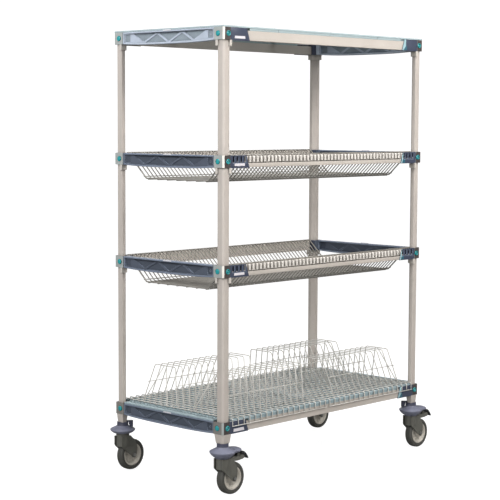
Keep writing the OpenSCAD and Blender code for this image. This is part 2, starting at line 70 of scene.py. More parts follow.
COLLARS = box_mm("corner_collars")
WIDTH = COLLARS[1][0] - COLLARS[0][0]
DEPTH = COLLARS[1][1] - COLLARS[0][1]
HALF_W, HALF_D = WIDTH / 2, DEPTH / 2
MID_X = (COLLARS[1][0] + COLLARS[0][0]) / 2
LEVELS = ["base", "lower", "upper", "top"]
CORNERS = {"front_left": (-1, -1), "front_right": (1, -1),
           "rear_left": (-1, 1), "rear_right": (1, 1)}
COLLAR_HEIGHT = 47.0
LEVEL_Z = []                            # underside of the collars at each level
for level in LEVELS:
    low, high = box_mm(f"release_{level}_front_left")
    LEVEL_Z.append((low[2] + high[2]) / 2 - COLLAR_HEIGHT / 2)
POST_INSET = 7.0                        # post faces in from the cart's outer faces
POST_LEG, POST_TIP = 32.0, 16.0         # length of the post's outer faces, width of its ends
COLLAR_X, COLLAR_Y = 46.0, 52.0         # reach of a collar from the corner
STUB_START = 37.0                       # where the end mouldings' side stubs begin
SLOT_START, SLOT_WIDTH = 50.5, 11.5     # first slot of the comb beams
SLOT_SPAN = WIDTH - 2 * SLOT_START - SLOT_WIDTH
SLOT_COUNT = 1 + round(SLOT_SPAN / 21.0)
SLOT_PITCH = SLOT_SPAN / (SLOT_COUNT - 1)
CASTER_INSET = 21.5                     # caster stems in from the outer faces


# ------------------------------------------------------------------ materials
class NodeTree:
    """Adds shader nodes and fills their inputs with values, sockets or nodes."""
    def __init__(self, owner, clear=True):
        owner.use_nodes = True
        self.tree = owner.node_tree
        if clear:
            self.tree.nodes.clear()

    def fill(self, node, inputs):
        for socket, value in inputs.items():
            if isinstance(value, bpy.types.Node):
                value = value.outputs[0]
            if isinstance(value, bpy.types.NodeSocket):
                self.tree.links.new(value, node.inputs[socket])
            else:
                node.inputs[socket].default_value = value

    def add(self, kind, inputs={}, **settings):
        node = self.tree.nodes.new("ShaderNode" + kind)
        for key, value in settings.items():
            setattr(node, key, value)
        self.fill(node, inputs)
        return node

    def remap(self, value, source, target=(0.0, 1.0)):
        return self.add("MapRange", {
            "Value": value, "From Min": source[0], "From Max": source[1],
            "To Min": target[0], "To Max": target[1]})

    def scale(self, color, factor):
        return self.add("VectorMath", {0: color, "Scale": factor}, operation="SCALE")


def make_material(name, base, rough, tone=0.1, tone_scale=18.0, grain=0.05, grain_scale=900.0,
                  bump=0.2, bump_scale=600.0, bump_depth=0.0004, wear=0.0, wear_color=None,
                  bevel=0.0006, dirt=0.0, metal=0.0, coat=0.0):
    """Mottled surface; edges are lightened for wear and as a painted highlight, recesses
    darkened with painted shade.
    """
    made = bpy.data.materials.new(name)
    nodes = NodeTree(made)
    add = nodes.add
    output = add("OutputMaterial")
    surface = add("BsdfPrincipled", {"Metallic": metal, "IOR": 1.45})
    nodes.fill(output, {0: surface})
    if coat:
        nodes.fill(surface, {"Coat Weight": coat, "Coat Roughness": 0.12})
    place = add("TexCoord").outputs["Object"]
    mapping = add("Mapping", {0: place})
    # broad tone variation, times a fine grain
    broad = add("TexNoise", {"Vector": mapping, "Scale": tone_scale,
                             "Detail": 5.0, "Roughness": 0.6})
    tones = nodes.remap(broad, (0.3, 0.7), (1.0 - tone, 1.0 + tone))
    fine = add("TexNoise", {"Vector": place, "Scale": grain_scale, "Detail": 3.0})
    grains = nodes.remap(fine, (0.35, 0.65), (1.0 - grain, 1.0 + grain))
    shade = add("Math", {0: tones, 1: grains}, operation="MULTIPLY")
    color = nodes.scale(base, shade)
    rounded = add("Bevel", {"Radius": bevel}, samples=4)
    if wear:
        # edges are where a wider rounding turns the normal away from the face; they are
        # lightened for wear and as a painted highlight
        wide = add("Bevel", {"Radius": bevel * 1.6}, samples=4)
        flat = add("NewGeometry").outputs["True Normal"]
        facing = add("VectorMath", {0: wide, 1: flat}, operation="DOT_PRODUCT")
        edges = nodes.remap(facing.outputs["Value"], (0.985, 0.86), (0.0, wear))
        patchy = add("TexNoise", {"Vector": place, "Scale": 70.0, "Detail": 6.0})
        patches = nodes.remap(patchy, (0.42, 0.6))
        worn_and_lit = add("Math", {0: edges, 1: patches}, operation="MULTIPLY")
        mixed = add("Mix", data_type="RGBA")
        nodes.fill(mixed, {"Factor": worn_and_lit, 6: color, 7: (*wear_color, 1.0)})
        color = mixed.outputs[2]
    if dirt:
        # painted shade: darkens the colour in the recesses that ambient occlusion finds
        hollow = add("AmbientOcclusion", {"Distance": 0.012}, samples=4)
        painted_recess_shade = nodes.remap(hollow.outputs["AO"], (0.35, 0.95), (1.0 - dirt, 1.0))
        color = nodes.scale(color, painted_recess_shade)
    gloss = nodes.remap(broad, (0.3, 0.7), (rough - 0.07, rough + 0.07))
    relief = add("TexNoise", {"Vector": place, "Scale": bump_scale, "Detail": 4.0})
    normal = add("Bump", {"Strength": bump, "Distance": bump_depth,
                          "Height": relief, "Normal": rounded})
    nodes.fill(surface, {"Base Color": color, "Roughness": gloss, "Normal": normal})
    return made


MATERIALS = {}


def material(name, base, preset={}, **own):
    MATERIALS[name] = make_material(name, base, **{**preset, **own})


EPOXY = dict(tone=0.05, tone_scale=9, grain=0.03, bump=0.12, bump_scale=1400, bump_depth=0.0002)
MOULDED = dict(rough=0.42, tone=0.08, tone_scale=25, bump=0.25, bump_scale=1100,
               bump_depth=0.0003)
RAIL = dict(MOULDED, tone=0.10, tone_scale=14, grain_scale=1300)
RECESS = dict(rough=0.5, tone_scale=30, grain_scale=1500, bump_scale=900)
MAT = dict(rough=0.48, tone=0.06, tone_scale=10, grain=0.04, bump_scale=900,
           bump_depth=0.0003, wear_color=(0.72, 0.80, 0.81))
WIRE = dict(tone_scale=30, bump=0.15, bump_scale=900, bump_depth=0.00015, bevel=0.0002,
            dirt=0.35, coat=0.2)

material("epoxy_taupe", (0.50, 0.452, 0.412), EPOXY, rough=0.42,
         wear=0.45, wear_color=(0.66, 0.62, 0.57), dirt=0.25, coat=0.1)
material("epoxy_taupe_beam", (0.50, 0.455, 0.41), EPOXY, rough=0.45,
         wear=0.6, wear_color=(0.74, 0.70, 0.65), dirt=0.35)
# lighter copy of the beam epoxy for the comb teeth: painted light on the teeth
material("epoxy_finger_painted_lit", (0.68, 0.645, 0.60), EPOXY, rough=0.38, bump=0.10,
         wear=0.6, wear_color=(0.80, 0.77, 0.72), dirt=0.45)
material("wedge_ivory", (0.56, 0.52, 0.475), rough=0.5, tone=0.05, grain=0.03, bump=0.1,
         wear=0.4, wear_color=(0.8, 0.77, 0.7), dirt=0.3)
# painted light: a pale, lit copy of the end moulding slate for the top level
material("polymer_slate_painted_lit", (0.43, 0.48, 0.56), RAIL, tone=0.08,
         wear=0.8, wear_color=(0.60, 0.65, 0.74), dirt=0.45)
# darker tone for the top level's sunk windows: painted shade in the recesses
material("polymer_slate_lit_recess_shade", (0.235, 0.275, 0.31), RECESS, grain=0.16, bump=0.5,
         dirt=0.5)
# the same slate darker for the lower levels: painted dimmer light
material("polymer_slate_painted_dim", (0.1721, 0.2046, 0.2697), RAIL,
         wear=0.85, wear_color=(0.50, 0.55, 0.66), dirt=0.5)
# darker tone for the lower levels' ribs and web: painted shadow under the top lip
material("polymer_slate_rib_shadow", (0.078, 0.093, 0.125), RAIL,
         wear=0.9, wear_color=(0.42, 0.47, 0.58), dirt=0.35)
# darker tone for the lower levels' sunk windows: painted shade in the recesses
material("polymer_slate_recess_shade", (0.056, 0.068, 0.092), RECESS, grain=0.10, bump=0.4, dirt=0.4)
material("polymer_navy", (0.052, 0.062, 0.098), RAIL, rough=0.40, tone_scale=18,
         wear=0.7, wear_color=(0.22, 0.27, 0.36), dirt=0.3)
# dark blue for the right-hand stub ends: painted shadow beside the lit edge
material("stub_edge_painted_shadow", (0.024, 0.115, 0.165), rough=0.32, tone_scale=40, bump=0.1,
         wear=0.6, wear_color=(0.25, 0.45, 0.55), coat=0.3)
# pale aqua for the right-hand stub ends: painted highlight on the slanted edge
material("stub_edge_painted_highlight", (0.33, 0.50, 0.54), rough=0.36, tone=0.06, tone_scale=20,
         grain=0.04, bump=0.1, wear=0.5, wear_color=(0.7, 0.85, 0.88))
material("polymer_umber", (0.062, 0.052, 0.050), MOULDED, rough=0.45, tone=0.10,
         wear=0.6, wear_color=(0.30, 0.27, 0.24), dirt=0.3)
material("polymer_sage", (0.36, 0.385, 0.375), MOULDED,
         wear=0.7, wear_color=(0.62, 0.62, 0.56), dirt=0.3)
# bright cream for the collar chamfers: a painted highlight where light catches the corner
material("polymer_cream_painted_highlight", (0.80, 0.765, 0.69), MOULDED, rough=0.35, tone=0.05,
         tone_scale=30, grain=0.03, bump=0.1,
         wear=0.6, wear_color=(0.92, 0.90, 0.84), dirt=0.1)
material("button_teal", (0.018, 0.30, 0.32), rough=0.22, tone_scale=60, grain=0.03, bump=0.04,
         wear=0.6, wear_color=(0.22, 0.60, 0.60), coat=0.6, dirt=0.55)
material("mat_aqua", (0.37, 0.455, 0.475), MAT, wear=0.5, dirt=0.5)
material("wire_epoxy", (0.25, 0.235, 0.21), WIRE, rough=0.34, tone=0.07, grain=0.04)
material("rack_wire_epoxy", (0.62, 0.60, 0.56), WIRE, rough=0.33, tone=0.05, grain=0.03)
material("bumper_lilac", (0.185, 0.192, 0.255), rough=0.42, tone=0.08, tone_scale=35,
         grain=0.06, grain_scale=1500, bump=0.3, bump_scale=1000, bump_depth=0.0003,
         wear=0.4, wear_color=(0.36, 0.37, 0.44), dirt=0.3, coat=0.15)
material("zinc_steel", (0.36, 0.355, 0.34), rough=0.36, metal=1.0, tone_scale=60, grain=0.06,
         bump_scale=700, wear=0.4, wear_color=(0.65, 0.64, 0.62), dirt=0.3)
material("nylon_grey", (0.115, 0.113, 0.097), rough=0.50, tone=0.09, tone_scale=40,
         grain=0.08, grain_scale=1600, bump=0.4, bump_scale=1300, bump_depth=0.0003,
         wear=0.5, wear_color=(0.22, 0.215, 0.19), dirt=0.4)
material("hub_sand", (0.52, 0.485, 0.425), rough=0.42, tone=0.08, tone_scale=45,
         bump_scale=1000, wear=0.4, wear_color=(0.55, 0.52, 0.46), dirt=0.55)
material("tread_grey", (0.0672, 0.06552, 0.05796), rough=0.62, tone=0.14, tone_scale=50,
         grain=0.12, grain_scale=1400, bump=0.5, bump_scale=900,
         wear=0.35, wear_color=(0.16, 0.155, 0.14), dirt=0.3)
material("pedal_black", (0.010, 0.010, 0.011), rough=0.38, tone=0.15, tone_scale=50,
         grain=0.1, bump=0.3, bump_scale=1000, wear=0.5, wear_color=(0.12, 0.12, 0.12))
material("tab_navy", (0.030, 0.032, 0.055), rough=0.45, tone_scale=40,
         wear=0.5, wear_color=(0.12, 0.13, 0.18))
material("polymer_navy_edge", (0.20, 0.25, 0.33), rough=0.36, tone_scale=40, bump=0.15,
         wear=0.5, wear_color=(0.45, 0.52, 0.60))
material("bumper_neck_navy", (0.060, 0.062, 0.095), rough=0.45, tone=0.08, bump=0.25,
         bump_scale=1000, wear=0.4, wear_color=(0.2, 0.2, 0.26), dirt=0.3)
# dark brown for the comb beam's groove: painted shade in the groove
material("beam_groove_painted_shade", (0.105, 0.095, 0.082), rough=0.6, grain=0.06,
         wear=0.3, wear_color=(0.2, 0.19, 0.17), dirt=0.4)
# darker olive grey for the bottom level's collar ends: painted shade near the floor
material("polymer_olive_grey_low_shade", (0.21, 0.20, 0.185), MOULDED,
         wear=0.6, wear_color=(0.5, 0.48, 0.43), dirt=0.3)
material("mat_aqua_deep", (0.33, 0.42, 0.45), MAT, wear=0.6, dirt=0.6)
material("tab_pale_grey", (0.62, 0.61, 0.64), rough=0.4, tone=0.06, tone_scale=30,
         grain=0.03, bump=0.1, wear=0.5, wear_color=(0.8, 0.8, 0.82))
material("slot_shadow_grey", (0.35, 0.32, 0.295), rough=0.6, tone_scale=30, grain=0.08,
         wear=0.3, wear_color=(0.2, 0.19, 0.17), dirt=0.5)
material("label_blank", (0.70, 0.67, 0.70), rough=0.35, tone=0.05, tone_scale=120,
         grain=0.02, bump=0.05)


# ------------------------------------------------------------------ placing
def place(row_x, row_y, row_z):
    return Matrix((row_x, row_y, row_z, (0, 0, 0, 1)))


def at_corner(side_x, side_y, z=0.0):
    """Local x and y run inward from a corner's outer faces."""
    return place((-side_x, 0, 0, side_x * HALF_W), (0, -side_y, 0, side_y * HALF_D),
                 (0, 0, 1, z))


def at_side(side_y, x=0.0, z=0.0):
    """Local y runs inward from the front or back face; x keeps its direction."""
    return place((1, 0, 0, x), (0, -side_y, 0, side_y * HALF_D), (0, 0, 1, z))


def along_x(x, y=0.0, z=0.0, way=1):
    """A profile drawn (y, z), run along X; way is its direction."""
    return place((0, 0, way, x), (1, 0, 0, y), (0, 1, 0, z))


def along_y(y):
    """A profile drawn (x, z), run along +Y."""
    return place((1, 0, 0, 0), (0, 0, 1, y), (0, 1, 0, 0))


# ------------------------------------------------------------------ flat loops
def rect(x0, x1, y0, y1):
    return [(x0, y0), (x1, y0), (x1, y1), (x0, y1)]


def round_corners(points, radius, steps):
    """Rounds a closed polygon; radius is one number or one per corner."""
    count = len(points)
    out = []
    for i in range(count):
        corner = Vector(points[i])
        back = Vector(points[i - 1]) - corner
        ahead = Vector(points[(i + 1) % count]) - corner
        own = radius[i] if isinstance(radius, (list, tuple)) else radius
        if own <= 0 or back.length < 1e-6 or ahead.length < 1e-6:
            out.append(tuple(corner))
            continue
        angle = back.angle(ahead)
        if abs(math.pi - angle) < 1e-3:
            out.append(tuple(corner))
            continue
        half_tan = math.tan(angle / 2)
        trim = min(own / half_tan, back.length * 0.49, ahead.length * 0.49)
        fitted = trim * half_tan
        start = corner + back.normalized() * trim
        end = corner + ahead.normalized() * trim
        middle = (back.normalized() + ahead.normalized()).normalized()
        centre = corner + middle * (fitted / math.sin(angle / 2))
        arm, last = start - centre, end - centre
        sweep = math.atan2(arm.x * last.y - arm.y * last.x, arm.dot(last))
        for k in range(steps + 1):
            turn = sweep * k / steps
            out.append((centre.x + arm.x * math.cos(turn) - arm.y * math.sin(turn),
                        centre.y + arm.x * math.sin(turn) + arm.y * math.cos(turn)))
    return out


def signed_area(loop):
    count = len(loop)
    return sum(loop[i][0] * loop[(i + 1) % count][1] - loop[(i + 1) % count][0] * loop[i][1]
               for i in range(count)) / 2


def inset_loop(loop, distance):
    """Moves a closed loop inward along its corner bisectors, whichever way it runs."""
    side = 1 if signed_area(loop) > 0 else -1
    count = len(loop)
    out = []
    for i in range(count):
        corner = Vector(loop[i])
        before = corner - Vector(loop[i - 1])
        after = Vector(loop[(i + 1) % count]) - corner
        if before.length < 1e-9:
            before = after
        if after.length < 1e-9:
            after = before
        before.normalize()
        after.normalize()
        normal = Vector((-before.y, before.x)) * side
        middle = normal + Vector((-after.y, after.x)) * side
        if middle.length < 1e-6:
            middle = normal
        middle.normalize()
        moved = corner + middle * (distance / max(0.35, middle.dot(normal)))
        out.append((moved.x, moved.y))
    return out


def turns_over(loop, distance):
    """True when insetting the loop turns any of its edges round."""
    moved = inset_loop(loop, distance)
    for i in range(len(loop)):
        j = (i + 1) % len(loop)
        if ((loop[j][0] - loop[i][0]) * (moved[j][0] - moved[i][0])
                + (loop[j][1] - loop[i][1]) * (moved[j][1] - moved[i][1])) <= 0:
            return True
    return False


def subdivide(loop, step):
    out = []
    for i, start in enumerate(loop):
        end = loop[(i + 1) % len(loop)]
        parts = max(1, int(math.hypot(end[0] - start[0], end[1] - start[1]) / step))
        out.extend((start[0] + (end[0] - start[0]) * t / parts,
                    start[1] + (end[1] - start[1]) * t / parts) for t in range(parts))
    return out


def inside(point, loop):
    x, y = point[0], point[1]
    found = False
    for i in range(len(loop)):
        xi, yi = loop[i][0], loop[i][1]
        xj, yj = loop[i - 1][0], loop[i - 1][1]
        if (yi > y) != (yj > y) and x < (xj - xi) * (y - yi) / (yj - yi) + xi:
            found = not found
    return found


def centre_2d(points, face):
    return sum((points[i] for i in face), Vector((0, 0))) / len(face)


def face_mean(verts, face):
    return [sum(verts[i][axis] for i in face) / len(face) for axis in range(3)]


# ------------------------------------------------------------------ closed solids
def ring_faces(ring, following):
    count = len(ring)
    return [[ring[i], ring[(i + 1) % count], following[(i + 1) % count], following[i]]
            for i in range(count)]


def prism(loops, height, bevel, bevel_steps, start=0.0):
    """Prism along +Z from an outer loop and any holes, its edges rounded."""
    while bevel > 0.05 and any(turns_over(loop, -bevel if i else bevel)
                               for i, loop in enumerate(loops)):
        bevel *= 0.8
    quarter = []                        # (inset, height) up the rounded edge
    for k in range(bevel_steps + 1):
        turn = (math.pi / 2) * k / bevel_steps
        quarter.append((bevel * (1 - math.sin(turn)), bevel * (1 - math.cos(turn))))
    stations = [(inset, start + z) for inset, z in quarter]
    stations += [(inset, start + height - z) for inset, z in reversed(quarter)]
    verts, faces, ends = [], [], []
    for number, loop in enumerate(loops):
        hole = number > 0
        points = list(loop)
        if (signed_area(points) > 0) == hole:   # outer anticlockwise, holes clockwise
            points.reverse()
        rings = []
        for inset, z in stations:
            flat = inset_loop(points, -inset if hole else inset) if inset > 1e-9 else points
            rings.append(range(len(verts), len(verts) + len(flat)))
            verts.extend((x, y, z) for x, y in flat)
        for ring, following in zip(rings[:-1], rings[1:]):
            faces.extend(ring_faces(ring, following))
        ends.append((rings[0], rings[-1]))
    for top in (0, 1):
        if len(loops) == 1:
            ring = ends[0][top]
            faces.append(list(ring) if top else list(reversed(ring)))
            continue
        flats, points, edges, source = [], [], [], []
        for ring in (pair[top] for pair in ends):
            flat = [Vector((verts[i][0], verts[i][1])) for i in ring]
            first, count = len(points), len(flat)
            edges.extend((first + i, first + (i + 1) % count) for i in range(count))
            flats.append(flat)
            points.extend(flat)
            source.extend(ring)
        result = delaunay_2d_cdt(points, edges, [], 1, 1e-7)
        for face in result[2]:
            centre = centre_2d(result[0], face)
            if any(inside(centre, hole) for hole in flats[1:]) or not inside(centre, flats[0]):
                continue
            cap = [source[result[3][i][0]] for i in face]
            faces.append(cap if top else list(reversed(cap)))
    return verts, faces


# faces of a unit cell, each with the neighbouring cell that would cover it
CELL_FACES = [
    (None, ((0, 0, 1), (1, 0, 1), (1, 1, 1), (0, 1, 1))),
    (None, ((0, 0, 0), (0, 1, 0), (1, 1, 0), (1, 0, 0))),
    ((-1, 0), ((0, 0, 0), (0, 0, 1), (0, 1, 1), (0, 1, 0))),
    ((1, 0), ((1, 0, 0), (1, 1, 0), (1, 1, 1), (1, 0, 1))),
    ((0, -1), ((0, 0, 0), (1, 0, 0), (1, 0, 1), (0, 0, 1))),
    ((0, 1), ((0, 1, 0), (0, 1, 1), (1, 1, 1), (1, 1, 0))),
]


def lattice(xs, ys, filled, z0, z1):
    """Watertight plate on grid lines; filled(x, y) says whether the cell there is solid."""
    cells = [(i, j) for i in range(len(xs) - 1) for j in range(len(ys) - 1)
             if filled((xs[i] + xs[i + 1]) / 2, (ys[j] + ys[j + 1]) / 2)]
    solid = set(cells)
    index, verts, faces = {}, [], []
    for i, j in cells:
        for neighbour, corners in CELL_FACES:
            if neighbour and (i + neighbour[0], j + neighbour[1]) in solid:
                continue
            face = []
            for dx, dy, top in corners:
                key = (i + dx, j + dy, top)
                if key not in index:
                    index[key] = len(verts)
                    verts.append((xs[i + dx], ys[j + dy], z1 if top else z0))
                face.append(index[key])
            faces.append(face)
    return verts, faces


def round_path(points, radius, steps=5):
    """Rounds the bends of an open path in space."""
    points = [np.array(p, float) for p in points]
    out = [points[0]]
    for before, bend, after in zip(points, points[1:], points[2:]):
        back, ahead = before - bend, after - bend
        back_length, ahead_length = np.linalg.norm(back), np.linalg.norm(ahead)
        back, ahead = back / back_length, ahead / ahead_length
        angle = math.acos(max(-1, min(1, float(back @ ahead))))
        if math.pi - angle < 0.02:
            out.append(bend)
            continue
        half_tan = math.tan(angle / 2)
        trim = min(radius / half_tan, back_length * 0.48, ahead_length * 0.48)
        fitted = trim * half_tan
        middle = (back + ahead) / np.linalg.norm(back + ahead)
        centre = bend + middle * (fitted / math.sin(angle / 2))
        start, end = bend + back * trim - centre, bend + ahead * trim - centre
        sweep = math.pi - angle
        for k in range(steps + 1):
            t = k / steps
            out.append(centre + (math.sin((1 - t) * sweep) * start
                                 + math.sin(t * sweep) * end) / math.sin(sweep))
    out.append(points[-1])
    return out


def tube(path, radius, sides):
    """Closed round wire along a path, with a small dome on each end."""
    points = np.array(path, float)
    along = np.zeros_like(points)
    along[1:-1] = points[2:] - points[:-2]
    along[0] = points[1] - points[0]
    along[-1] = points[-1] - points[-2]
    along /= np.linalg.norm(along, axis=1)[:, None]
    guide = np.array([1.0, 0.2, 0.1] if abs(along[0][0]) < 0.9 else [0.1, 0.2, 1.0])
    across = np.cross(along[0], guide)
    across /= np.linalg.norm(across)
    turns = np.arange(sides) * 2 * math.pi / sides
    drawn = radius / math.cos(math.pi / sides) ** 0.5
    rings = []
    for point, direction in zip(points, along):
        across = across - direction * (across @ direction)
        across /= np.linalg.norm(across)
        other = np.cross(direction, across)
        rings.append(point + drawn * (np.cos(turns)[:, None] * across
                                      + np.sin(turns)[:, None] * other))
    rings.insert(0, points[0] - along[0] * radius * 0.5 + (rings[0] - points[0]) * 0.55)
    rings.append(points[-1] + along[-1] * radius * 0.5 + (rings[-1] - points[-1]) * 0.55)
    index = [range(i * sides, (i + 1) * sides) for i in range(len(rings))]
    faces = []
    for ring, following in zip(index[:-1], index[1:]):
        faces.extend(ring_faces(ring, following))
    faces.append(list(reversed(index[0])))
    faces.append(list(index[-1]))
    return np.concatenate(rings), faces


def outward(verts, faces):
    """Turns all faces round if the signed volume is negative."""
    points = np.array(verts, float)
    volume = 0.0
    for face in faces:
        for i in range(1, len(face) - 1):
            volume += np.dot(points[face[0]],
                             np.cross(points[face[i]], points[face[i + 1]]))
    if volume < 0:
        faces = [list(reversed(face)) for face in faces]
    return verts, faces


def lathe(profile, sides, closed=True):
    """Turns an (r, z) profile about Z; a point at r = 0 is one vertex."""
    verts, faces, rings = [], [], []
    for r, z in profile:
        first = len(verts)
        if abs(r) < 1e-9:
            rings.append([first] * sides)
            verts.append((0, 0, z))
        else:
            rings.append(range(first, first + sides))
            verts.extend((r * math.cos(2 * math.pi * j / sides),
                          r * math.sin(2 * math.pi * j / sides), z) for j in range(sides))
    for i in range(len(profile) if closed else len(profile) - 1):
        for quad in ring_faces(rings[i], rings[(i + 1) % len(profile)]):
            face = list(dict.fromkeys(quad))
            if len(face) > 2:
                faces.append(face)
    return outward(verts, faces)


class Shells:
    """Collects closed shells into one mesh."""
    def __init__(self):
        self.verts, self.faces, self.materials, self.count = [], [], [], 0

    def add(self, verts, faces, at=None, material=0):
        """Material is one slot number, or a list with one per face."""
        points = np.asarray(verts, float)
        mirrored = False
        if at is not None:
            matrix = np.array(at)
            points = points @ matrix[:3, :3].T + matrix[:3, 3]
            mirrored = np.linalg.det(matrix[:3, :3]) < 0
        self.verts.append(points)
        self.materials += material if isinstance(material, list) else [material] * len(faces)
        for face in faces:
            self.faces.append([self.count + i for i in (reversed(face) if mirrored else face)])
        self.count += len(points)

    def bar(self, points, radius, steps, length, bevel, bevel_steps,
            at=None, start=0.0, material=0):
        """A prism from one polygon with rounded corners."""
        loop = round_corners(points, radius, steps)
        self.add(*prism([loop], length, bevel, bevel_steps, start), at, material)

    def rod(self, path, radius, sides=10, lift=0.0):
        self.add(*tube([(x, y, z + lift) for x, y, z in path], radius, sides))

    def append(self, other, lift):
        self.add(np.concatenate(other.verts) + np.array([0, 0, lift]), other.faces,
                 material=other.materials)

    def mirrored(self):
        """The same shells mirrored in X."""
        out = Shells()
        out.add(np.concatenate(self.verts) * np.array([-1.0, 1, 1]),
                [list(reversed(face)) for face in self.faces], material=self.materials)
        return out

    def mesh(self, name):
        mesh = bpy.data.meshes.new(name)
        points = (np.concatenate(self.verts) + np.array([MID_X, 0, 0])) * 0.001
        mesh.from_pydata(points.tolist(), [], self.faces)
        mesh.polygons.foreach_set("material_index", self.materials)
        mesh.validate()
        return mesh


def finish(name, mesh, materials, body, sharp, nodes=()):
    """Makes the object; materials is one name or a list, sharp an angle in degrees."""
    made = bpy.data.objects.new(name, mesh)
    bpy.context.scene.collection.objects.link(made)
    slots = [polygon.material_index for polygon in mesh.polygons]
    mesh.materials.clear()
    for key in ([materials] if isinstance(materials, str) else materials):
        mesh.materials.append(MATERIALS[key])
    mesh.polygons.foreach_set("material_index", slots)
    mesh.polygons.foreach_set("use_smooth", [True] * len(mesh.polygons))
    mesh.set_sharp_from_angle(angle=math.radians(sharp))
    mesh.update()
    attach(made, body)
    if nodes:
        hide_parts(*nodes)
    return made


def refine(node, name, materials, width, steps=2, body="frame", angle=34, sharp=40):
    """Cleaned copy of a CAD node with its edges rounded by width."""
    source = bmesh.new()
    source.from_mesh(frame["nodes"][node].data)
    bmesh.ops.remove_doubles(source, verts=source.verts, dist=2e-6)
    bmesh.ops.dissolve_limit(source, angle_limit=math.radians(0.6),
                             verts=source.verts, edges=source.edges)
    mesh = bpy.data.meshes.new(name + "_m")
    source.to_mesh(mesh)
    source.free()
    made = finish(name, mesh, materials, body, sharp, (node,))
    edge = made.modifiers.new("edge", "BEVEL")
    edge.width = width * 0.001
    edge.segments = steps
    edge.limit_method = "ANGLE"
    edge.angle_limit = math.radians(angle)
    edge.use_clamp_overlap = True
    return made


# ------------------------------------------------------------------ posts
# half the post section up to its diagonal, with a fine flute: x, y, corner radius
POST_HALF = [(6, 0, 3.0), (25.5, 0, 0.3), (26.1, 0.6, 0.15), (27.1, 0.6, 0.15),
             (27.7, 0, 0.3), (POST_LEG, 0, 2.4), (POST_LEG, POST_TIP, 3.0)]
RULE_PITCH = 25.4


def posts():
    section = POST_HALF + [(y, x, radius) for x, y, radius in reversed(POST_HALF)]
    points = [(POST_INSET + x, POST_INSET + y) for x, y, _ in section]
    radii = [radius for _, _, radius in section]
    low, high = box_mm("post_front_left")
    bottom, top = low[2], high[2]
    diagonal = math.sqrt(0.5)
    inner = POST_INSET + (POST_LEG + POST_TIP) / 2      # middle of the inner diagonal face
    for corner, sides in CORNERS.items():
        shells = Shells()
        shells.bar(points, radii, 5, top - bottom, 0.5, 1, at_corner(*sides), start=bottom)
        # thin raised rules down the inner face
        z = bottom + 60
        while z < top - 30:
            on_face = place((-diagonal, 0, diagonal, inner), (diagonal, 0, diagonal, inner),
                            (0, 1, 0, z))
            shells.bar(rect(-8, 8, 0, 1.6), 0.7, 2, 1.1, 0.3, 1,
                       at_corner(*sides) @ on_face, start=-0.5)
            z += RULE_PITCH
        finish("post_tube_" + corner, shells.mesh("post"), "epoxy_taupe", "frame", 28,
               ("post_" + corner,))


posts()


# ------------------------------------------------------------------ collars, wedges, sleeves
def collars():
    made = refine("corner_collars", "corner_collar_set",
                  ["polymer_umber", "polymer_sage", "polymer_cream_painted_highlight", "polymer_olive_grey_low_shade"],
                  width=1.3, steps=3)
    for polygon in made.data.polygons:
        normal = polygon.normal
        # the bottom level's collar ends take the darker olive grey as painted shade
        lowest_dimmed = polygon.center.z < (LEVEL_Z[0] + COLLAR_HEIGHT + 5) / 1000
        if abs(normal.x) > 0.9:
            polygon.material_index = 3 if lowest_dimmed else 1
        # chamfers above the bottom level take the cream painted highlight; at the bottom level
        # they take the plain end tone
        elif abs(normal.x) > 0.5 and abs(normal.y) > 0.5:
            polygon.material_index = 1 if lowest_dimmed else 2


def sleeves():
    made = refine("foot_sleeves", "foot_sleeve_set", ["epoxy_taupe", "tab_navy"],
                  width=1.0)
    for polygon in made.data.polygons:
        x = HALF_W - abs(polygon.center.x * 1000 - MID_X) - CASTER_INSET
        y = HALF_D - abs(polygon.center.y * 1000) - CASTER_INSET
        # low faces on the inner diagonal
        if (x + y) / math.sqrt(2) > 19 and polygon.center.z * 1000 < 209.6:
            polygon.material_index = 1


collars()
refine("post_wedges", "post_wedge_set", "wedge_ivory", width=0.7)
sleeves()

# ------------------------------------------------------------------ release buttons
# r, z profiles; z is outward
RINGED_BUTTON = [
    (0, -4.2), (10.35, -4.2), (10.35, 1.0), (10.2, 1.9), (9.8, 2.75), (9.1, 3.2), (8.3, 3.3),
    (7.6, 3.1), (7.1, 2.5), (6.8, 1.2), (6.5, 0.2), (6.0, -0.2), (5.2, -0.1), (4.6, 0.5),
    (4.0, 1.3), (3.0, 1.9), (1.6, 2.2), (0, 2.3)]
DOMED_BUTTON = [
    (0, -4.2), (10.35, -4.2), (10.35, 0.6), (10.2, 1.5), (9.8, 2.2), (9.1, 2.7), (8.0, 3.0),
    (6.0, 3.25), (3.5, 3.4), (0, 3.45)]
# plan of the strip that joins them round the corner: x, y, corner radius
BUTTON_STRIP = [
    (11.6, 3.5, 1.0), (38, 3.5, 0.5), (38, 4.88, 0.5), (12.1, 4.88, 0.8),
    (4.88, 12.1, 0.8), (4.88, 40.3, 0.5), (3.5, 40.3, 0.5), (3.5, 11.6, 1.0)]
BUTTON_X, BUTTON_Y, BUTTON_Z = 25.0, 30.0, COLLAR_HEIGHT / 2
STRIP_HEIGHT = 16


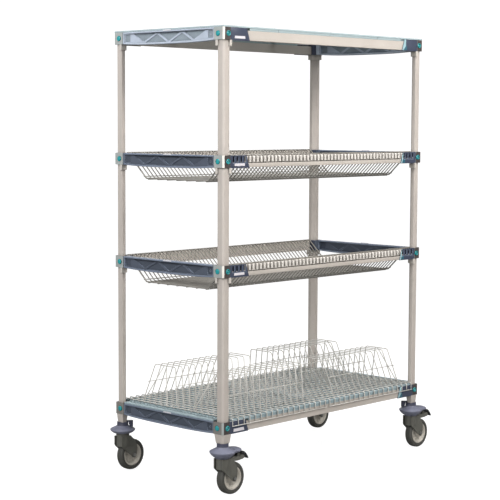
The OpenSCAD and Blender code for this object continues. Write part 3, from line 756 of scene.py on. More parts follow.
def buttons():
    on_side = place((1, 0, 0, BUTTON_X), (0, 0, -1, 0.2), (0, 1, 0, BUTTON_Z))
    on_end = place((0, 0, -1, 0.2), (1, 0, 0, BUTTON_Y), (0, -1, 0, BUTTON_Z))
    for level, level_z in zip(LEVELS, LEVEL_Z):
        for corner, sides in CORNERS.items():
            shells = Shells()
            at = at_corner(*sides, level_z)
            shells.bar([p[:2] for p in BUTTON_STRIP], [p[2] for p in BUTTON_STRIP], 2,
                       STRIP_HEIGHT, 0.2, 1, at, start=BUTTON_Z - STRIP_HEIGHT / 2)
            shells.add(*lathe(RINGED_BUTTON, 56, closed=False), at @ on_side)
            shells.add(*lathe(DOMED_BUTTON, 56, closed=False), at @ on_end)
            node = f"release_{level}_{corner}"
            finish(node + "_buttons", shells.mesh("release"), "button_teal", node + "_body",
                   40, (node,))


buttons()

# ------------------------------------------------------------------ end mouldings
RAIL_HALF = HALF_D - COLLAR_Y - 0.1
BELLY = LEVEL_Z[0] - box_mm("base_end_rails")[0][2]     # drop of the rail's lower edge
RIB_HALF = RAIL_HALF - 46                               # half length of the zigzag of ribs
RIB_HALF_WIDTH = 4.2
RIM_X = 1.0                                             # front plane of the rim
WEB_DEPTH, SUNK_DEPTH, PANEL_WALL = 4.2, 3.2, 2.6
TAB_HALF = 23
# material slots of an end moulding
RIM, RIB, SUNK, STUB, EDGE, TAB = range(6)


def belly(y):
    return -BELLY * (1 - abs(y / RAIL_HALF) ** 3)


def rail_outline(inset=0.0, steps=40):
    """(y, z) outline with a bellied lower edge."""
    lower = [-RAIL_HALF + 2 * RAIL_HALF * i / steps for i in range(steps + 1)]
    bottom = [(y, belly(y)) for y in lower]
    top = [(RAIL_HALF - 2 * RAIL_HALF * i / 12, COLLAR_HEIGHT - 0.5) for i in range(13)]
    if not inset:
        return bottom + top
    limit = RAIL_HALF - inset
    points = [(max(-limit, min(limit, y)), z + inset) for y, z in bottom]
    points += [(max(-limit, min(limit, y)), z - inset) for y, z in top]
    # drop the points that the inset brings together
    out = [points[0]]
    for point in points[1:]:
        if math.hypot(point[0] - out[-1][0], point[1] - out[-1][1]) > 0.3:
            out.append(point)
    if math.hypot(out[0][0] - out[-1][0], out[0][1] - out[-1][1]) < 0.3:
        out.pop()
    return out


def draw_back(y, z):
    """How far the panel draws back behind its flat place."""
    across = max(0.0, 1 - (y / (RAIL_HALF - 6)) ** 2)
    up = (z + BELLY) / (COLLAR_HEIGHT + BELLY)
    return 11.5 * across ** 0.9 * (0.2 + 0.8 * up)


def panel_windows():
    """Five triangles between the zigzag ribs and a square at each end."""
    top, half = COLLAR_HEIGHT - 8.5, RIB_HALF_WIDTH
    step = 2 * RIB_HALF / 6
    nodes = [-RIB_HALF + step * i for i in range(7)]
    loops = []
    for i in range(5):
        left, middle, right = nodes[i:i + 3]
        if i % 2 == 0:
            points = [(left + 1.9 * half, top), (middle, belly(middle) + 7.0 + half * 0.9),
                      (right - 1.9 * half, top)]
        else:
            points = [(left + 1.9 * half, belly(left) + 7.2),
                      (right - 1.9 * half, belly(right) + 7.2), (middle, top - half * 0.9)]
        loops.append(round_corners(points, 1.6, 3))
    for side in (-1, 1):
        y0, y1 = sorted((side * (RIB_HALF + 7), side * (RAIL_HALF - 9.5)))
        loops.append(round_corners(rect(y0, y1, 7.5, top - 1), 2.2, 3))
    return loops


def panel():
    """Closed ribbed panel: raised web, sunk windows with drafted walls, drawn back."""
    outer = rail_outline(5.6)
    windows = panel_windows()
    floors = [inset_loop(window, 1.3) for window in windows]
    pairs = list(zip(windows, floors))
    points, edges = [], []
    for loop in [outer] + [loop for pair in pairs for loop in pair]:
        loop = subdivide(loop, 7.0)
        first, count = len(points), len(loop)
        points.extend(Vector(p) for p in loop)
        edges.extend((first + i, first + (i + 1) % count) for i in range(count))
    # a grid of points, kept clear of the loops
    limit = inset_loop(outer, 2.0)
    bands = [(inset_loop(window, -1.5), inset_loop(floor, 1.5)) for window, floor in pairs]
    columns = int(2 * RAIL_HALF / 9)
    for i in range(1, columns):
        for j in range(0, 7):
            point = (-RAIL_HALF + 2 * RAIL_HALF * i / columns, -BELLY + 6 + j * 7.0)
            if inside(point, limit) and not any(
                    inside(point, around) and not inside(point, within)
                    for around, within in bands):
                points.append(Vector(point))
    result = delaunay_2d_cdt(points, edges, [], 1, 1e-6)
    points = result[0]
    grown = [inset_loop(floor, -0.15) for floor in floors]
    front, back = [], []
    for y, z in points:
        sunk = any(inside((y, z), floor) for floor in grown)
        flat = WEB_DEPTH + draw_back(y, z)
        front.append((y, z, -(flat + (SUNK_DEPTH if sunk else 0.0))))
        back.append((y, z, -(flat + SUNK_DEPTH + PANEL_WALL)))

    def slot_at(centre):
        for window, floor in pairs:
            if inside(centre, floor):
                return SUNK
            if inside(centre, window):
                # the lower walls of a window face up and take the lighter rim tone as a painted
                # highlight
                middle = sum(p[1] for p in window) / len(window)
                low = centre[1] < min(p[1] for p in floor) + 0.2 or centre[1] < middle - 2
                return RIM if low else RIB
        return RIB

    skin, slots = [], []
    for face in result[2]:
        centre = centre_2d(points, face)
        if inside(centre, outer):
            skin.append(list(face))
            slots.append(slot_at(centre))
    count = len(points)
    faces = skin + [[count + i for i in reversed(face)] for face in skin]
    used = dict.fromkeys((face[i], face[(i + 1) % len(face)])
                         for face in skin for i in range(len(face)))
    for start, end in used:
        if (end, start) not in used:
            faces.append([end, start, count + start, count + end])
    slots = slots + slots + [RIB] * (len(faces) - 2 * len(slots))
    return front + back, faces, slots


PANEL = panel()


def stub_loops(slotted):
    """(x, z) outline of a side stub, with four slots if asked."""
    start, top_end, bottom_end = STUB_START + 0.1, 126.0, 142.0
    step = COLLAR_X + 0.1
    outline = [(start, 0.1), (step, 0.1), (step, -1.5), (bottom_end, -1.5), (bottom_end, 0.6),
               (top_end, COLLAR_HEIGHT - 0.5), (start, COLLAR_HEIGHT - 0.5)]
    loops = [round_corners(outline, [0.4, 0.5, 0.5, 0.9, 0.9, 2.4, 0.4], 4)]
    if slotted:
        for i in range(4):
            x = SLOT_START + i * SLOT_PITCH
            loops.append(round_corners(rect(x, x + SLOT_WIDTH, 20, 43), 1.4, 3))
    return loops


def stub_face(shells, at, slotted):
    loops = stub_loops(slotted)
    verts, faces = prism(loops, 2.6, 0.6, 2)
    grown = [inset_loop(slot, -0.75) for slot in loops[1:]]
    slots = []
    for face in faces:
        centre = face_mean(verts, face)
        slot_wall = len(face) == 4 and any(inside(centre, slot) for slot in grown)
        slots.append(EDGE if slot_wall else STUB)
    shells.add(verts, faces, at @ along_y(1.0), slots)


def end_moulding(slotted):
    """The left end moulding, drawn from the underside of its level."""
    shells = Shells()
    base = Matrix.Translation((-HALF_W, 0, 0))
    shells.add(*prism([rail_outline(), rail_outline(6.2)], 26, 1.8, 3),
               base @ along_x(RIM_X), RIM)
    verts, faces, slots = PANEL
    shells.add(verts, faces, base @ along_x(RIM_X, way=-1), slots)
    # plain ring in the front end square
    y = -(RIB_HALF + RAIL_HALF - 2.5) / 2
    shells.add(*lathe([(3.4, 0), (4.6, 0), (4.6, 1.3), (4.3, 1.6), (3.7, 1.6), (3.4, 1.3)], 28),
               base @ along_x(RIM_X + WEB_DEPTH + draw_back(y, 23) + 3.4, y, 22.5, way=-1), RIM)
    # lifting tab
    shells.bar([(-TAB_HALF, 0), (TAB_HALF, 0), (TAB_HALF - 1.5, 5.0), (1.5 - TAB_HALF, 5.0)],
               [0.6, 0.6, 2.0, 2.0], 3, 1.7, 0.5, 2,
               base @ along_x(-0.2, z=COLLAR_HEIGHT - 3.4), material=TAB)
    for side in (-1, 1):
        at = at_side(side, x=-HALF_W)
        # end wall and web behind the collar
        shells.bar(rect(1, COLLAR_X + 4, COLLAR_Y + 0.1, COLLAR_Y + 3.1), 0.4, 2,
                   COLLAR_HEIGHT - 0.5, 0.6, 1, at, material=RIB)
        shells.bar(rect(COLLAR_X + 0.1, COLLAR_X + 4, 1.2, COLLAR_Y + 2.9), 0.4, 2,
                   COLLAR_HEIGHT - 0.7, 0.6, 1, at, start=0.1, material=STUB)
        stub_face(shells, at, slotted)
        if slotted:
            # raised rule under the slots, and a plate behind each slot
            shells.bar(rect(COLLAR_X + 5, 129.5, 15.6, 16.8), 0.4, 2, 1.0, 0.3, 1,
                       at @ along_y(0.55), material=EDGE)
            for i in range(4):
                x = SLOT_START + i * SLOT_PITCH
                shells.bar(rect(x + 0.2, x + SLOT_WIDTH - 0.2, 20.4, 43.2), 0.5, 2,
                           0.9, 0.3, 1, at @ along_y(9.9), material=STUB)
        # return lip under the beam
        shells.bar(rect(COLLAR_X + 0.6, 134, -1.45, 0.35), 0.4, 2, 9.0, 0.3, 1,
                   at @ along_y(1.2), material=STUB)
    return shells


def end_mouldings():
    for level, level_z in zip(LEVELS, LEVEL_Z):
        left = end_moulding(slotted=level in ("lower", "upper"))
        both = Shells()
        both.append(left, level_z)
        both.append(left.mirrored(), level_z)
        # the top level takes the painted-lit slate; the lower levels take the dimmer slate,
        # with painted shadow on the ribs and painted shade in the sunk windows
        if level == "top":
            tones = ["polymer_slate_painted_lit", "polymer_slate_painted_lit", "polymer_slate_lit_recess_shade"]
        else:
            tones = ["polymer_slate_painted_dim", "polymer_slate_rib_shadow", "polymer_slate_recess_shade"]
        finish(f"end_mouldings_{level}", both.mesh("ends"),
               tones + ["polymer_navy", "polymer_navy_edge", "tab_pale_grey"],
               "frame", 36, (f"{level}_end_rails",))


def stub_end_highlights():
    """Two bands on the end of each right-hand stub: a pale painted highlight along the slanted
    edge and a dark blue painted shadow beside it.
    """
    shells = Shells()
    for level, level_z in zip(LEVELS, LEVEL_Z):
        if level in ("lower", "upper"):
            x = SLOT_START + 3 * SLOT_PITCH + SLOT_WIDTH + 0.9
            low_start, low_top = 112.5, 15.2
        else:
            x = 116.5
            low_start, low_top = 110.5, 18.6
        for side in (-1, 1):
            at = at_corner(1, side, level_z) @ along_y(0.35)
            # pale band: painted highlight on the slanted edge
            upper = [(x, COLLAR_HEIGHT - 0.9), (125.7, COLLAR_HEIGHT - 0.9), (141.0, 0.8),
                     (132.4, 0.8), (x + 0.6, 19.0)]
            shells.bar(upper, [0.5, 1.6, 0.6, 0.6, 0.8], 3, 0.9, 0.35, 2, at)
            # dark blue band: painted shadow beside the edge
            lower = [(low_start, 0.8), (131.6, 0.8), (x - 0.2, low_top), (low_start, low_top)]
            shells.bar(lower, 0.6, 3, 0.7, 0.25, 2, at, start=0.1, material=1)
    finish("stub_end_painted_highlights", shells.mesh("bands"), ["stub_edge_painted_highlight", "stub_edge_painted_shadow"],
           "frame", 36)


def blank_plates():
    """Pale plates on the front left stubs; the base one is a little larger."""
    shells = Shells()
    for number, level_z in enumerate(LEVEL_Z):
        points = ([(59, 6), (117, 6), (115, 16), (61, 16)] if number
                  else [(59, 5), (119, 5), (116, 17), (61, 17)])
        shells.bar(points, 1.6, 4, 0.7, 0.2, 1, at_corner(-1, -1, level_z) @ along_y(0.45))
    finish("blank_plates", shells.mesh("plates"), "label_blank", "frame", 36)


end_mouldings()
stub_end_highlights()
blank_plates()

# ------------------------------------------------------------------ beams
# comb beam section: y inward, z, corner radius
COMB_SECTION = [
    (3.6, 0.6, 1.4), (3.6, 16.8, 0.4), (6.2, 16.8, 0.3), (6.2, 20.4, 0.3), (3.6, 20.4, 0.3),
    (3.6, 21.6, 0.6), (11, 21.6, 0.4), (11, 44, 0.9), (26, 44, 1.4), (26, 0.6, 0.6),
    (23, 0.6, 0.6), (23, 39, 1.0), (13.5, 39, 1.0), (13.5, 0.6, 0.6)]
BEAM_START = 50.2


def comb_beams():
    beam, slot_back, lit_finger, shaded_groove, shaded_end_finger = range(5)      # material slots
    section = round_corners([p[:2] for p in COMB_SECTION], [p[2] for p in COMB_SECTION], 3)
    verts, faces = prism([section], WIDTH - 2 * BEAM_START, 0.5, 1)
    slots = []
    for face in faces:
        y, z, _ = face_mean(verts, face)
        if 10.5 < y < 11.4 and 21 < z < 43:
            slots.append(slot_back)
        # the groove faces take a dark painted shade
        elif 3.5 < y < 6.6 and 16.6 < z < 20.6:
            slots.append(shaded_groove)
        else:
            slots.append(beam)
    width = SLOT_PITCH - SLOT_WIDTH
    shells = Shells()
    for level_z in LEVEL_Z[1:3]:
        for side in (-1, 1):
            at = at_side(side, x=-HALF_W, z=level_z)
            shells.add(verts, faces, at @ along_x(BEAM_START), slots)
            for i in range(SLOT_COUNT - 1):
                x = SLOT_START + i * SLOT_PITCH + SLOT_WIDTH
                # teeth behind the stubs take dark navy: painted shade that darkens the slots
                # there
                near_end = x < 120 or x + SLOT_PITCH - SLOT_WIDTH > WIDTH - 120
                # the teeth take the lighter epoxy as painted light
                shells.bar(rect(3.6, 11.6, 21.0, 43.9), [0.3, 0.3, 0.3, 4.2], 5,
                           width, 1.5, 3, at @ along_x(x),
                           material=shaded_end_finger if near_end else lit_finger)
    finish("comb_beam_set", shells.mesh("combs"),
           ["epoxy_taupe_beam", "slot_shadow_grey", "epoxy_finger_painted_lit", "beam_groove_painted_shade",
            "tab_navy"], "frame", 40, ("basket_side_beams",))


comb_beams()
for level in ("base", "top"):
    refine(f"{level}_side_beams", f"{level}_beam_set", "epoxy_taupe_beam",
           width=1.6, steps=3)


# ------------------------------------------------------------------ mats
MAT_MARGIN = 2                          # mat edge in from the cart's outer faces
MAT_THICKNESS = 5.9
CUT_X, CUT_Y = 48, 54                   # corner cut-outs of the base mat
CUT_BORDER = 5                          # solid border round the cut-outs


def hole_spans(start, end, border, bar, count):
    pitch = (end - start - 2 * border + bar) / count
    return [(start + border + j * pitch, start + border + (j + 1) * pitch - bar)
            for j in range(count)]


def grid_lines(*groups):
    return sorted({round(value, 4) for group in groups for value in group})


def mat(name, node, level_z, cut, look):
    """Four pierced sections side by side, with skirts along the front and back."""
    shells = Shells()
    section = (WIDTH - 2 * MAT_MARGIN) / 4
    top = box_mm(node)[1][2]
    y0, y1 = -HALF_D + MAT_MARGIN, HALF_D - MAT_MARGIN
    holes_y = hole_spans(y0, y1, border=16.0, bar=3.5, count=30)
    for i in range(4):
        x0 = -HALF_W + MAT_MARGIN + i * section + 0.5
        x1 = -HALF_W + MAT_MARGIN + (i + 1) * section - 0.5
        holes_x = hole_spans(x0, x1, border=13.0, bar=4.0, count=11)
        cut_xs = [x for x in (CUT_X - HALF_W, HALF_W - CUT_X) if cut and x0 < x < x1]
        cut_ys = [CUT_Y - HALF_D, HALF_D - CUT_Y] if cut else []

        def filled(x, y):
            if cut and abs(x) > HALF_W - CUT_X and abs(y) > HALF_D - CUT_Y:
                return False
            if (cut and abs(x) > HALF_W - CUT_X - CUT_BORDER
                    and abs(y) > HALF_D - CUT_Y - CUT_BORDER):
                return True
            return not (any(a < x < b for a, b in holes_x)
                        and any(a < y < b for a, b in holes_y))

        shells.add(*lattice(grid_lines((x0, x1), *holes_x, cut_xs),
                            grid_lines((y0, y1), *holes_y, cut_ys),
                            filled, top - MAT_THICKNESS, top))
        start, end = max(x0, -HALF_W + 144), min(x1, HALF_W - 144)
        for side in (-1, 1):
            at = at_side(side) @ along_x(start)
            shells.bar(rect(3.7, 9.4, level_z + 38, top - 1.0), [0.6, 0.5, 0.5, 0.5], 2,
                       end - start, 0.5, 1, at)
            shells.bar(rect(18, 24, level_z + 38, top - 1.0), 0.6, 2, end - start, 0.5, 1, at)
    finish(name, shells.mesh("mat"), look, "frame", 30, (node,))


mat("top_mat_sections", "top_shelf_mats", LEVEL_Z[3], cut=False, look="mat_aqua")
mat("base_mat_sections", "base_shelf_mats", LEVEL_Z[0], cut=True, look="mat_aqua_deep")


def straight(start, end, overhang, y, z):
    """Three-point path along X that runs past both ends."""
    return [(start - overhang, y, z), ((start + end) / 2, y, z), (end + overhang, y, z)]


# ------------------------------------------------------------------ baskets
BASKET_X = HALF_W - 53.5                            # half length
BASKET_TOP_Y, BASKET_FLOOR_Y = HALF_D - 28, HALF_D - 134
BASKET_TOP, BASKET_FLOOR = 45.0, -53.5              # heights from the level
WIRE_GAP = 4.2                                      # long wires out from the cross rods


def mirrored_path(half):
    """A path across the cart from its half on the -Y side."""
    return half + [(x, -y, z) for x, y, z in reversed(half)]


def basket(level, level_z):
    shells = Shells()
    top_y, floor_y, top, floor = BASKET_TOP_Y, BASKET_FLOOR_Y, BASKET_TOP, BASKET_FLOOR
    # cross rods, one in each comb slot but the end ones
    for i in range(1, SLOT_COUNT - 1):
        x = -HALF_W + SLOT_START + SLOT_WIDTH / 2 + i * SLOT_PITCH
        half = [(x, -top_y - 6, top + 3.4), (x, -top_y + 1.5, top - 1.0), (x, -floor_y, floor)]
        shells.rod(round_path(mirrored_path(half), 14), 2.2, lift=level_z)
    slope = np.array([0, top_y - floor_y, top - floor])
    slope /= np.linalg.norm(slope)
    for side in (-1, 1):
        shells.rod(straight(-BASKET_X, BASKET_X, 0, side * (HALF_D - 20), 47.1), 3.0, 14,
                   lift=level_z)
        # one long wire low on each sloping side
        y = floor_y + 0.1 * (top_y - floor_y) + WIRE_GAP * slope[2]
        z = floor + 0.1 * (top - floor) - WIRE_GAP * slope[1]
        shells.rod(straight(-BASKET_X, BASKET_X, 1, side * y, z), 1.9, lift=level_z)
    for i in range(7):
        y = -floor_y + 12 + i * (2 * floor_y - 24) / 6
        shells.rod(straight(-BASKET_X, BASKET_X, 1, y, floor - WIRE_GAP), 1.9, lift=level_z)
    # thicker hoop at each end
    for x in (-BASKET_X, BASKET_X):
        half = [(x, -top_y - 8, top + 2.1), (x, -top_y - 1, top + 1.0),
                (x, -floor_y, floor - 0.5)]
        shells.rod(round_path(mirrored_path(half), 14, 7), 3.0, 14, lift=level_z)
    finish(f"{level}_basket_wirework", shells.mesh("basket"), "wire_epoxy", f"{level}_basket",
           60, (f"{level}_basket_rods", f"{level}_basket_wires"))


basket("lower", LEVEL_Z[1])
basket("upper", LEVEL_Z[2])

# ------------------------------------------------------------------ tray racks
RACK_WIRE = 1.6                                     # radius of the long wires
CROSS_PITCH, LONG_PITCH = 32, 34
HOOP_HEIGHT, HOOP_LEAN, HOOP_PITCH = 145.0, 29.0, 36.0
HOOP_FOOT, HOOP_TOP = 98, 60                        # half widths of a hoop
HOOP_ROWS = (-163.5, 128.5)                         # Y of the rows' middles


def rack(side):
    """Wire grid over the base mat with two rows of leaning hoops; the right one mirrors."""
    shells = Shells()
    lift = LEVEL_Z[0]
    long_z = COLLAR_HEIGHT + 6.1 + RACK_WIRE + 0.05
    cross_z = long_z + 2 * RACK_WIRE - 0.2
    first = -HALF_W + 52
    crossings = int((HALF_W - 60) / CROSS_PITCH)
    last = first + crossings * CROSS_PITCH
    for i in range(crossings + 1):
        x = first + i * CROSS_PITCH
        half = [(x, -HALF_D - 1.7, 27), (x, -HALF_D - 1.7, cross_z)]
        shells.rod(round_path(mirrored_path(half), 5), 1.75, lift=lift)
    gaps = int((DEPTH - 30) / LONG_PITCH)
    for j in range(gaps + 1):
        y = -gaps * LONG_PITCH / 2 + j * LONG_PITCH
        shells.rod(straight(first, last, 3, y, long_z), RACK_WIRE, lift=lift)
    for way in (-1, 1):
        shells.rod(straight(first, last, 3, way * (HALF_D + 4.4), 28.6), RACK_WIRE, lift=lift)
    foot_z = cross_z + RACK_WIRE
    hoop_x = first + 30
    hoops = int((HALF_W - 150) / HOOP_PITCH)
    for row in HOOP_ROWS:
        for i in range(hoops + 1):
            x = hoop_x + i * HOOP_PITCH
            path = [(x, row - HOOP_FOOT, foot_z - 1),
                    (x + HOOP_LEAN, row - HOOP_TOP, foot_z + HOOP_HEIGHT),
                    (x + HOOP_LEAN, row + HOOP_TOP, foot_z + HOOP_HEIGHT),
                    (x, row + HOOP_FOOT, foot_z - 1)]
            shells.rod(round_path(path, 11, 6), 2.0, lift=lift)
        # a long wire halfway up each side
        start = hoop_x + HOOP_LEAN / 2
        for way in (-1, 1):
            y = row + way * ((HOOP_FOOT + HOOP_TOP) / 2 + 3.5)
            shells.rod(straight(start, start + hoops * HOOP_PITCH, 4, y,
                                foot_z + HOOP_HEIGHT / 2), 1.6, lift=lift)
        # end stop braces: an inverted V from the first hoop's top bar to the grid
        for way in (-1, 1):
            shells.rod([(hoop_x + HOOP_LEAN, row + way * 6, foot_z + HOOP_HEIGHT),
                        (first + 4, row + way * 70, foot_z - 1)], 2.0, lift=lift)
    if side == "right":
        shells = shells.mirrored()
    finish(f"rack_{side}_wirework", shells.mesh("rack"), "rack_wire_epoxy", f"rack_{side}",
           60, (f"tray_rack_{side}",))


rack("left")
rack("right")

# ------------------------------------------------------------------ caster covers
# front cover stations: z, disc radius, half width of the arm
FRONT_COVER = [
    (204.8, 23, 0), (191, 23, 0), (189, 23.6, 0), (187, 26.2, 0), (184.8, 30.2, 0),
    (181.2, 37.4, 12), (179.4, 40.8, 22), (176.8, 45.6, 28.5), (174.9, 49.2, 32.4),
    (173.4, 50.9, 34.3), (171.4, 51.4, 35), (169.6, 50.9, 35), (167.6, 49.9, 33.6),
    (165.4, 48.6, 31.8), (165, 48.2, 29), (164.6, 47.8, 0), (160.6, 45.0, 0), (156, 40.4, 0),
    (152.4, 36.0, 0), (150.2, 31.8, 0), (148.6, 28.6, 0), (146.2, 27.2, 0)]
# rear disc stations: z, radius
REAR_DISC = [
    (204.8, 23), (192, 23), (190, 23.7), (188, 26.4), (185.8, 30.4), (182.2, 37.4),
    (179.2, 43.6), (176.9, 48.2), (175.2, 50.5), (173.2, 51.4), (171.2, 50.9), (168.6, 49.2),
    (165, 45.2), (162.4, 42.0), (160.2, 37.4), (159.0, 33.0), (158.6, 27.0), (150, 27.0),
    (146.6, 27.0)]
ARM_REACH = 54
COVER_LOOKS = ["bumper_lilac", "bumper_neck_navy", "nylon_grey"]


def stacked_cover(stations):
    """Closed shell of stacked outlines: a disc blended with a rounded arm along +X."""
    sides = 120
    blend = 1.6
    verts, rings = [], []
    for z, disc, arm in stations:
        first = len(verts)
        rings.append(range(first, first + sides))
        for j in range(sides):
            turn = 2 * math.pi * j / sides
            cosine = math.cos(turn)
            radius = disc
            if arm:
                # farthest reach, this way, of circles spaced along the arm
                reach = 0.0
                for t in np.linspace(0, 1, 33):
                    x = ARM_REACH * t
                    square = (x * cosine) ** 2 - x * x + arm * arm
                    if square > 0:
                        reach = max(reach, x * cosine + math.sqrt(square))
                radius = blend * math.log(math.exp((disc - 40) / blend)
                                          + math.exp((reach - 40) / blend)) + 40
                radius = min(radius, max(disc, reach) + 1.1)
            verts.append((radius * math.cos(turn), radius * math.sin(turn), z))
    faces = []
    for upper, lower in zip(rings[:-1], rings[1:]):
        for j in range(sides):
            k = (j + 1) % sides
            faces.append([upper[j], lower[j], lower[k], upper[k]])
    faces.append(list(rings[0]))
    faces.append(list(reversed(rings[-1])))
    slots = []
    for face in faces:
        z = face_mean(verts, face)[2]
        radius = max(math.hypot(verts[i][0], verts[i][1]) for i in face)
        # the narrow neck under the disc takes dark grey as painted shade in the gap above the
        # fork
        slots.append(1 if z > 190 else 2 if z < 158.7 and radius < 27.5 else 0)
    verts, faces = outward(verts, faces)
    return verts, faces, slots


def caster_xy(corner):
    side_x, side_y = CORNERS[corner]
    return side_x * (HALF_W - CASTER_INSET), side_y * (HALF_D - CASTER_INSET)


def add_cover(shells, stations, corner):
    verts, faces, slots = stacked_cover(stations)
    shells.add(verts, faces, Matrix.Translation((*caster_xy(corner), 0)), slots)


def caster_covers():
    shells = Shells()
    for corner in ("rear_left", "rear_right"):
        add_cover(shells, [(z, radius, 0) for z, radius in REAR_DISC], corner)
    finish("rear_bumper_discs", shells.mesh("bumper"), COVER_LOOKS, "frame", 40,
           ("rear_bumpers",))
    for corner in ("front_left", "front_right"):
        shells = Shells()
        add_cover(shells, FRONT_COVER, corner)
        finish("caster_cover_shell_" + corner, shells.mesh("cover"), COVER_LOOKS,
               "caster_" + corner, 40, ("caster_cover_" + corner,))


refine("caster_stems", "caster_stem_set", "zinc_steel", width=0.6)
caster_covers()

# ------------------------------------------------------------------ wheels
WHEEL_RADIUS = 63.5
WHEEL_TRAIL = 42.0                      # axle in +X from the stem
# half profiles from one face to the middle, mirrored for the other: r, z along the axle
TYRE_HALF = [
    (47.02, -12.5), (48.2, -15.0), (50, -15.9), (54, -16), (56.0, -15.6), (56.6, -15.1),
    (57.2, -15.6), (58.6, -15.4), (60.8, -14.2), (62.4, -11.8), (63.1, -9.0), (63.35, -6.4),
    (62.9, -6.0), (62.9, -5.4), (63.4, -5.0), (WHEEL_RADIUS, -2.5)]
HUB_HALF = [
    (4.05, -18), (9.6, -18), (10.8, -17.4), (11.4, -16), (12.6, -9.5), (14.5, -7.4),
    (19, -6.0), (29, -5.2), (33, -6.0), (36.5, -9.2), (39.2, -13.0), (40.6, -14.4),
    (42.4, -14.9), (45.4, -14.7), (46.6, -13.6), (46.98, -12.4)]


def wheel_shell(half):
    return lathe(half + [(r, -z) for r, z in reversed(half)], 96)


def wheel(corner):
    x, y = caster_xy(corner)
    at = place((1, 0, 0, x + WHEEL_TRAIL), (0, 0, -1, y), (0, 1, 0, WHEEL_RADIUS))
    tyre = Shells()
    tyre.add(*wheel_shell(TYRE_HALF), at)
    finish("tyre_" + corner, tyre.mesh("tyre"), "tread_grey", "wheel_" + corner, 38,
           ("wheel_tyre_" + corner,))
    hub = Shells()
    hub.add(*wheel_shell(HUB_HALF), at)
    # low radial ribs on both faces
    for k in range(10):
        spoke = Matrix.Rotation(2 * math.pi * k / 10, 4, "Z")
        for turn in (math.pi, 0):
            hub.bar(rect(14, 34, -1.1, 1.1), 0.6, 2, 2.0, 0.4, 1,
                    at @ spoke @ Matrix.Rotation(turn, 4, "X"), start=4.6)
    finish("hub_" + corner, hub.mesh("hub"), "hub_sand", "wheel_" + corner, 38,
           ("wheel_hub_" + corner,))


for corner, (_, side_y) in CORNERS.items():
    refine("caster_fork_" + corner, "fork_" + corner, "nylon_grey",
           width=1.8, steps=3, body="caster_" + corner, angle=40, sharp=44)
    refine("caster_axle_" + corner, "axle_bolt_" + corner, "zinc_steel",
           width=0.6, body="caster_" + corner)
    if side_y < 0:
        refine("brake_pedal_" + corner, "pedal_plate_" + corner, "pedal_black",
               width=0.9, body="pedal_" + corner, angle=38, sharp=44)
    wheel(corner)

# ------------------------------------------------------------------ stage (m)
CAMERA_YAW, CAMERA_PITCH, CAMERA_ROLL = (math.radians(a) for a in (46.22, 4.96, 0.241))


def floor_material():
    """Pale to the camera, little bounce on to the cart."""
    made = bpy.data.materials.new("floor_pale")
    nodes = NodeTree(made, clear=False)
    add = nodes.add
    surface = nodes.tree.nodes["Principled BSDF"]
    noise = add("TexNoise", {"Scale": 3.0})
    grey = add("MapRange", {"Value": noise, "To Min": 0.20, "To Max": 0.24})
    color = add("CombineColor", {channel: grey for channel in range(3)})
    nodes.fill(surface, {"Roughness": 0.8, "Base Color": color})
    to_camera = add("LightPath").outputs["Is Camera Ray"]
    glow = add("Emission", {"Color": (1, 1, 1, 1), "Strength": 0.90})
    lit = add("AddShader", {0: surface, 1: glow})
    mixed = add("MixShader", {0: to_camera, 1: surface, 2: lit})
    nodes.fill(nodes.tree.nodes["Material Output"], {"Surface": mixed})
    return made


def floor():
    """Floor square to the camera, with a curved rise far behind that hides the horizon."""
    half, bend_start, bend_radius = 40.0, 8.0, 5
    bend = [math.radians(degrees) for degrees in range(10, 91, 10)]
    stations = [(-half, 0), (bend_start, 0)]        # distance back, height
    stations += [(bend_start + bend_radius * math.sin(a),
                  bend_radius - bend_radius * math.cos(a)) for a in bend]
    stations.append((bend_start + bend_radius, 30))
    cosine, sine = math.cos(-CAMERA_YAW), math.sin(-CAMERA_YAW)
    verts = [(x * cosine - y * sine, x * sine + y * cosine, z)
             for y, z in stations for x in (-half, half)]
    faces = [[2 * i, 2 * i + 1, 2 * i + 3, 2 * i + 2] for i in range(len(stations) - 1)]
    mesh = bpy.data.meshes.new("floor")
    mesh.from_pydata(verts, [], faces)
    made = bpy.data.objects.new("floor", mesh)
    bpy.context.scene.collection.objects.link(made)
    mesh.polygons.foreach_set("use_smooth", [True] * len(mesh.polygons))
    mesh.materials.append(floor_material())


def world():
    """White to the camera; for light, a soft sky that brightens upward."""
    made = bpy.data.worlds.new("studio")
    bpy.context.scene.world = made
    nodes = NodeTree(made)
    add = nodes.add
    output = add("OutputWorld")
    sky = add("Background", {"Color": (1.0, 0.995, 0.985, 1)})
    backdrop = add("Background", {"Color": (1, 1, 1, 1), "Strength": 1.0})
    mixed = add("MixShader")
    to_camera = add("LightPath").outputs["Is Camera Ray"]
    direction = add("TexCoord").outputs["Generated"]
    height = add("SeparateXYZ", {0: direction}).outputs["Z"]
    nodes.fill(sky, {"Strength": nodes.remap(height, (-0.05, 1.0), (0.34, 0.66))})
    nodes.fill(mixed, {0: to_camera, 1: sky, 2: backdrop})
    nodes.fill(output, {"Surface": mixed})


floor()
world()

# ------------------------------------------------------------------ lights
WARM, COOL, WHITE = (1.0, 0.985, 0.965), (0.97, 0.985, 1.0), (1, 1, 1)


def add_light(name, kind, location, target, power, color, **settings):
    light = bpy.data.lights.new(name, kind)
    light.energy = power
    light.color = color
    for key, value in settings.items():
        setattr(light, key, value)
    made = bpy.data.objects.new(name, light)
    bpy.context.scene.collection.objects.link(made)
    made.location = location
    direction = Vector(target) - Vector(location)
    made.rotation_euler = direction.to_track_quat("-Z", "Y").to_euler()


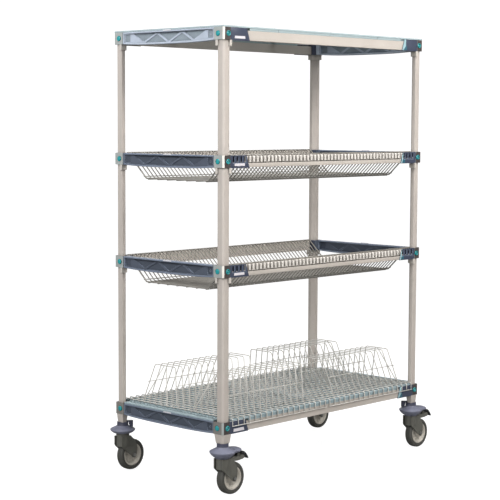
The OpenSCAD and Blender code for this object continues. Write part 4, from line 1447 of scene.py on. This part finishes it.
def area_light(name, location, target, size, power, color=WHITE, spread=180):
    add_light(name, "AREA", location, target, power, color, spread=math.radians(spread),
              shape="RECTANGLE", size=size[0], size_y=size[1])


def sun_light(name, location, target, power, color=WHITE):
    add_light(name, "SUN", location, target, power, color, angle=math.radians(35))


area_light("key", location=(0.4, -3.8, 3.9), target=(0, 0, 1.1), size=(2.8, 2.0), power=86,
           color=WARM)
sun_light("fill", location=(-4.6, -0.6, 2.9), target=(0, 0, 1.0), power=0.84, color=COOL)
sun_light("camera_fill", location=(-4.4, -3.6, 2.3), target=(0, 0, 1.2), power=0.40)
area_light("top", location=(0.0, 0.1, 4.4), target=(0, 0, 0.8), size=(3.2, 3.2), power=60)
area_light("back", location=(3.5, 4.5, 3.2), target=(0, 0, 1.0), size=(2.6, 2.0), power=34)
area_light("upper_front", location=(0.2, -3.4, 2.9), target=(0, 0, 1.75), size=(1.8, 0.9),
           power=16, color=WARM, spread=75)
area_light("upper_left", location=(-3.9, -0.2, 2.9), target=(0, 0, 1.75), size=(1.2, 0.9),
           power=13, color=COOL, spread=75)


# ------------------------------------------------------------------ camera
def camera():
    """Looks at the front left corner from a little above."""
    data = bpy.data.cameras.new("camera")
    data.sensor_width = 36.0
    data.lens = 105.84
    data.clip_end = 200
    made = bpy.data.objects.new("camera", data)
    bpy.context.scene.collection.objects.link(made)
    yaw, pitch, roll = CAMERA_YAW, CAMERA_PITCH, CAMERA_ROLL
    ahead = Vector((math.sin(yaw) * math.cos(pitch), math.cos(yaw) * math.cos(pitch),
                    -math.sin(pitch)))
    level_right = Vector((math.cos(yaw), -math.sin(yaw), 0))
    level_up = level_right.cross(ahead)
    right = level_right * math.cos(roll) + level_up * math.sin(roll)
    up = -level_right * math.sin(roll) + level_up * math.cos(roll)
    turned = place(*((right[i], up[i], -ahead[i], 0) for i in range(3)))
    location = (-4.526 + MID_X / 1000, -4.204, LEVEL_Z[0] / 1000 + 1.190)
    made.matrix_world = Matrix.Translation(location) @ turned
    bpy.context.scene.camera = made


camera()
bpy.context.scene.view_settings.view_transform = "Standard"
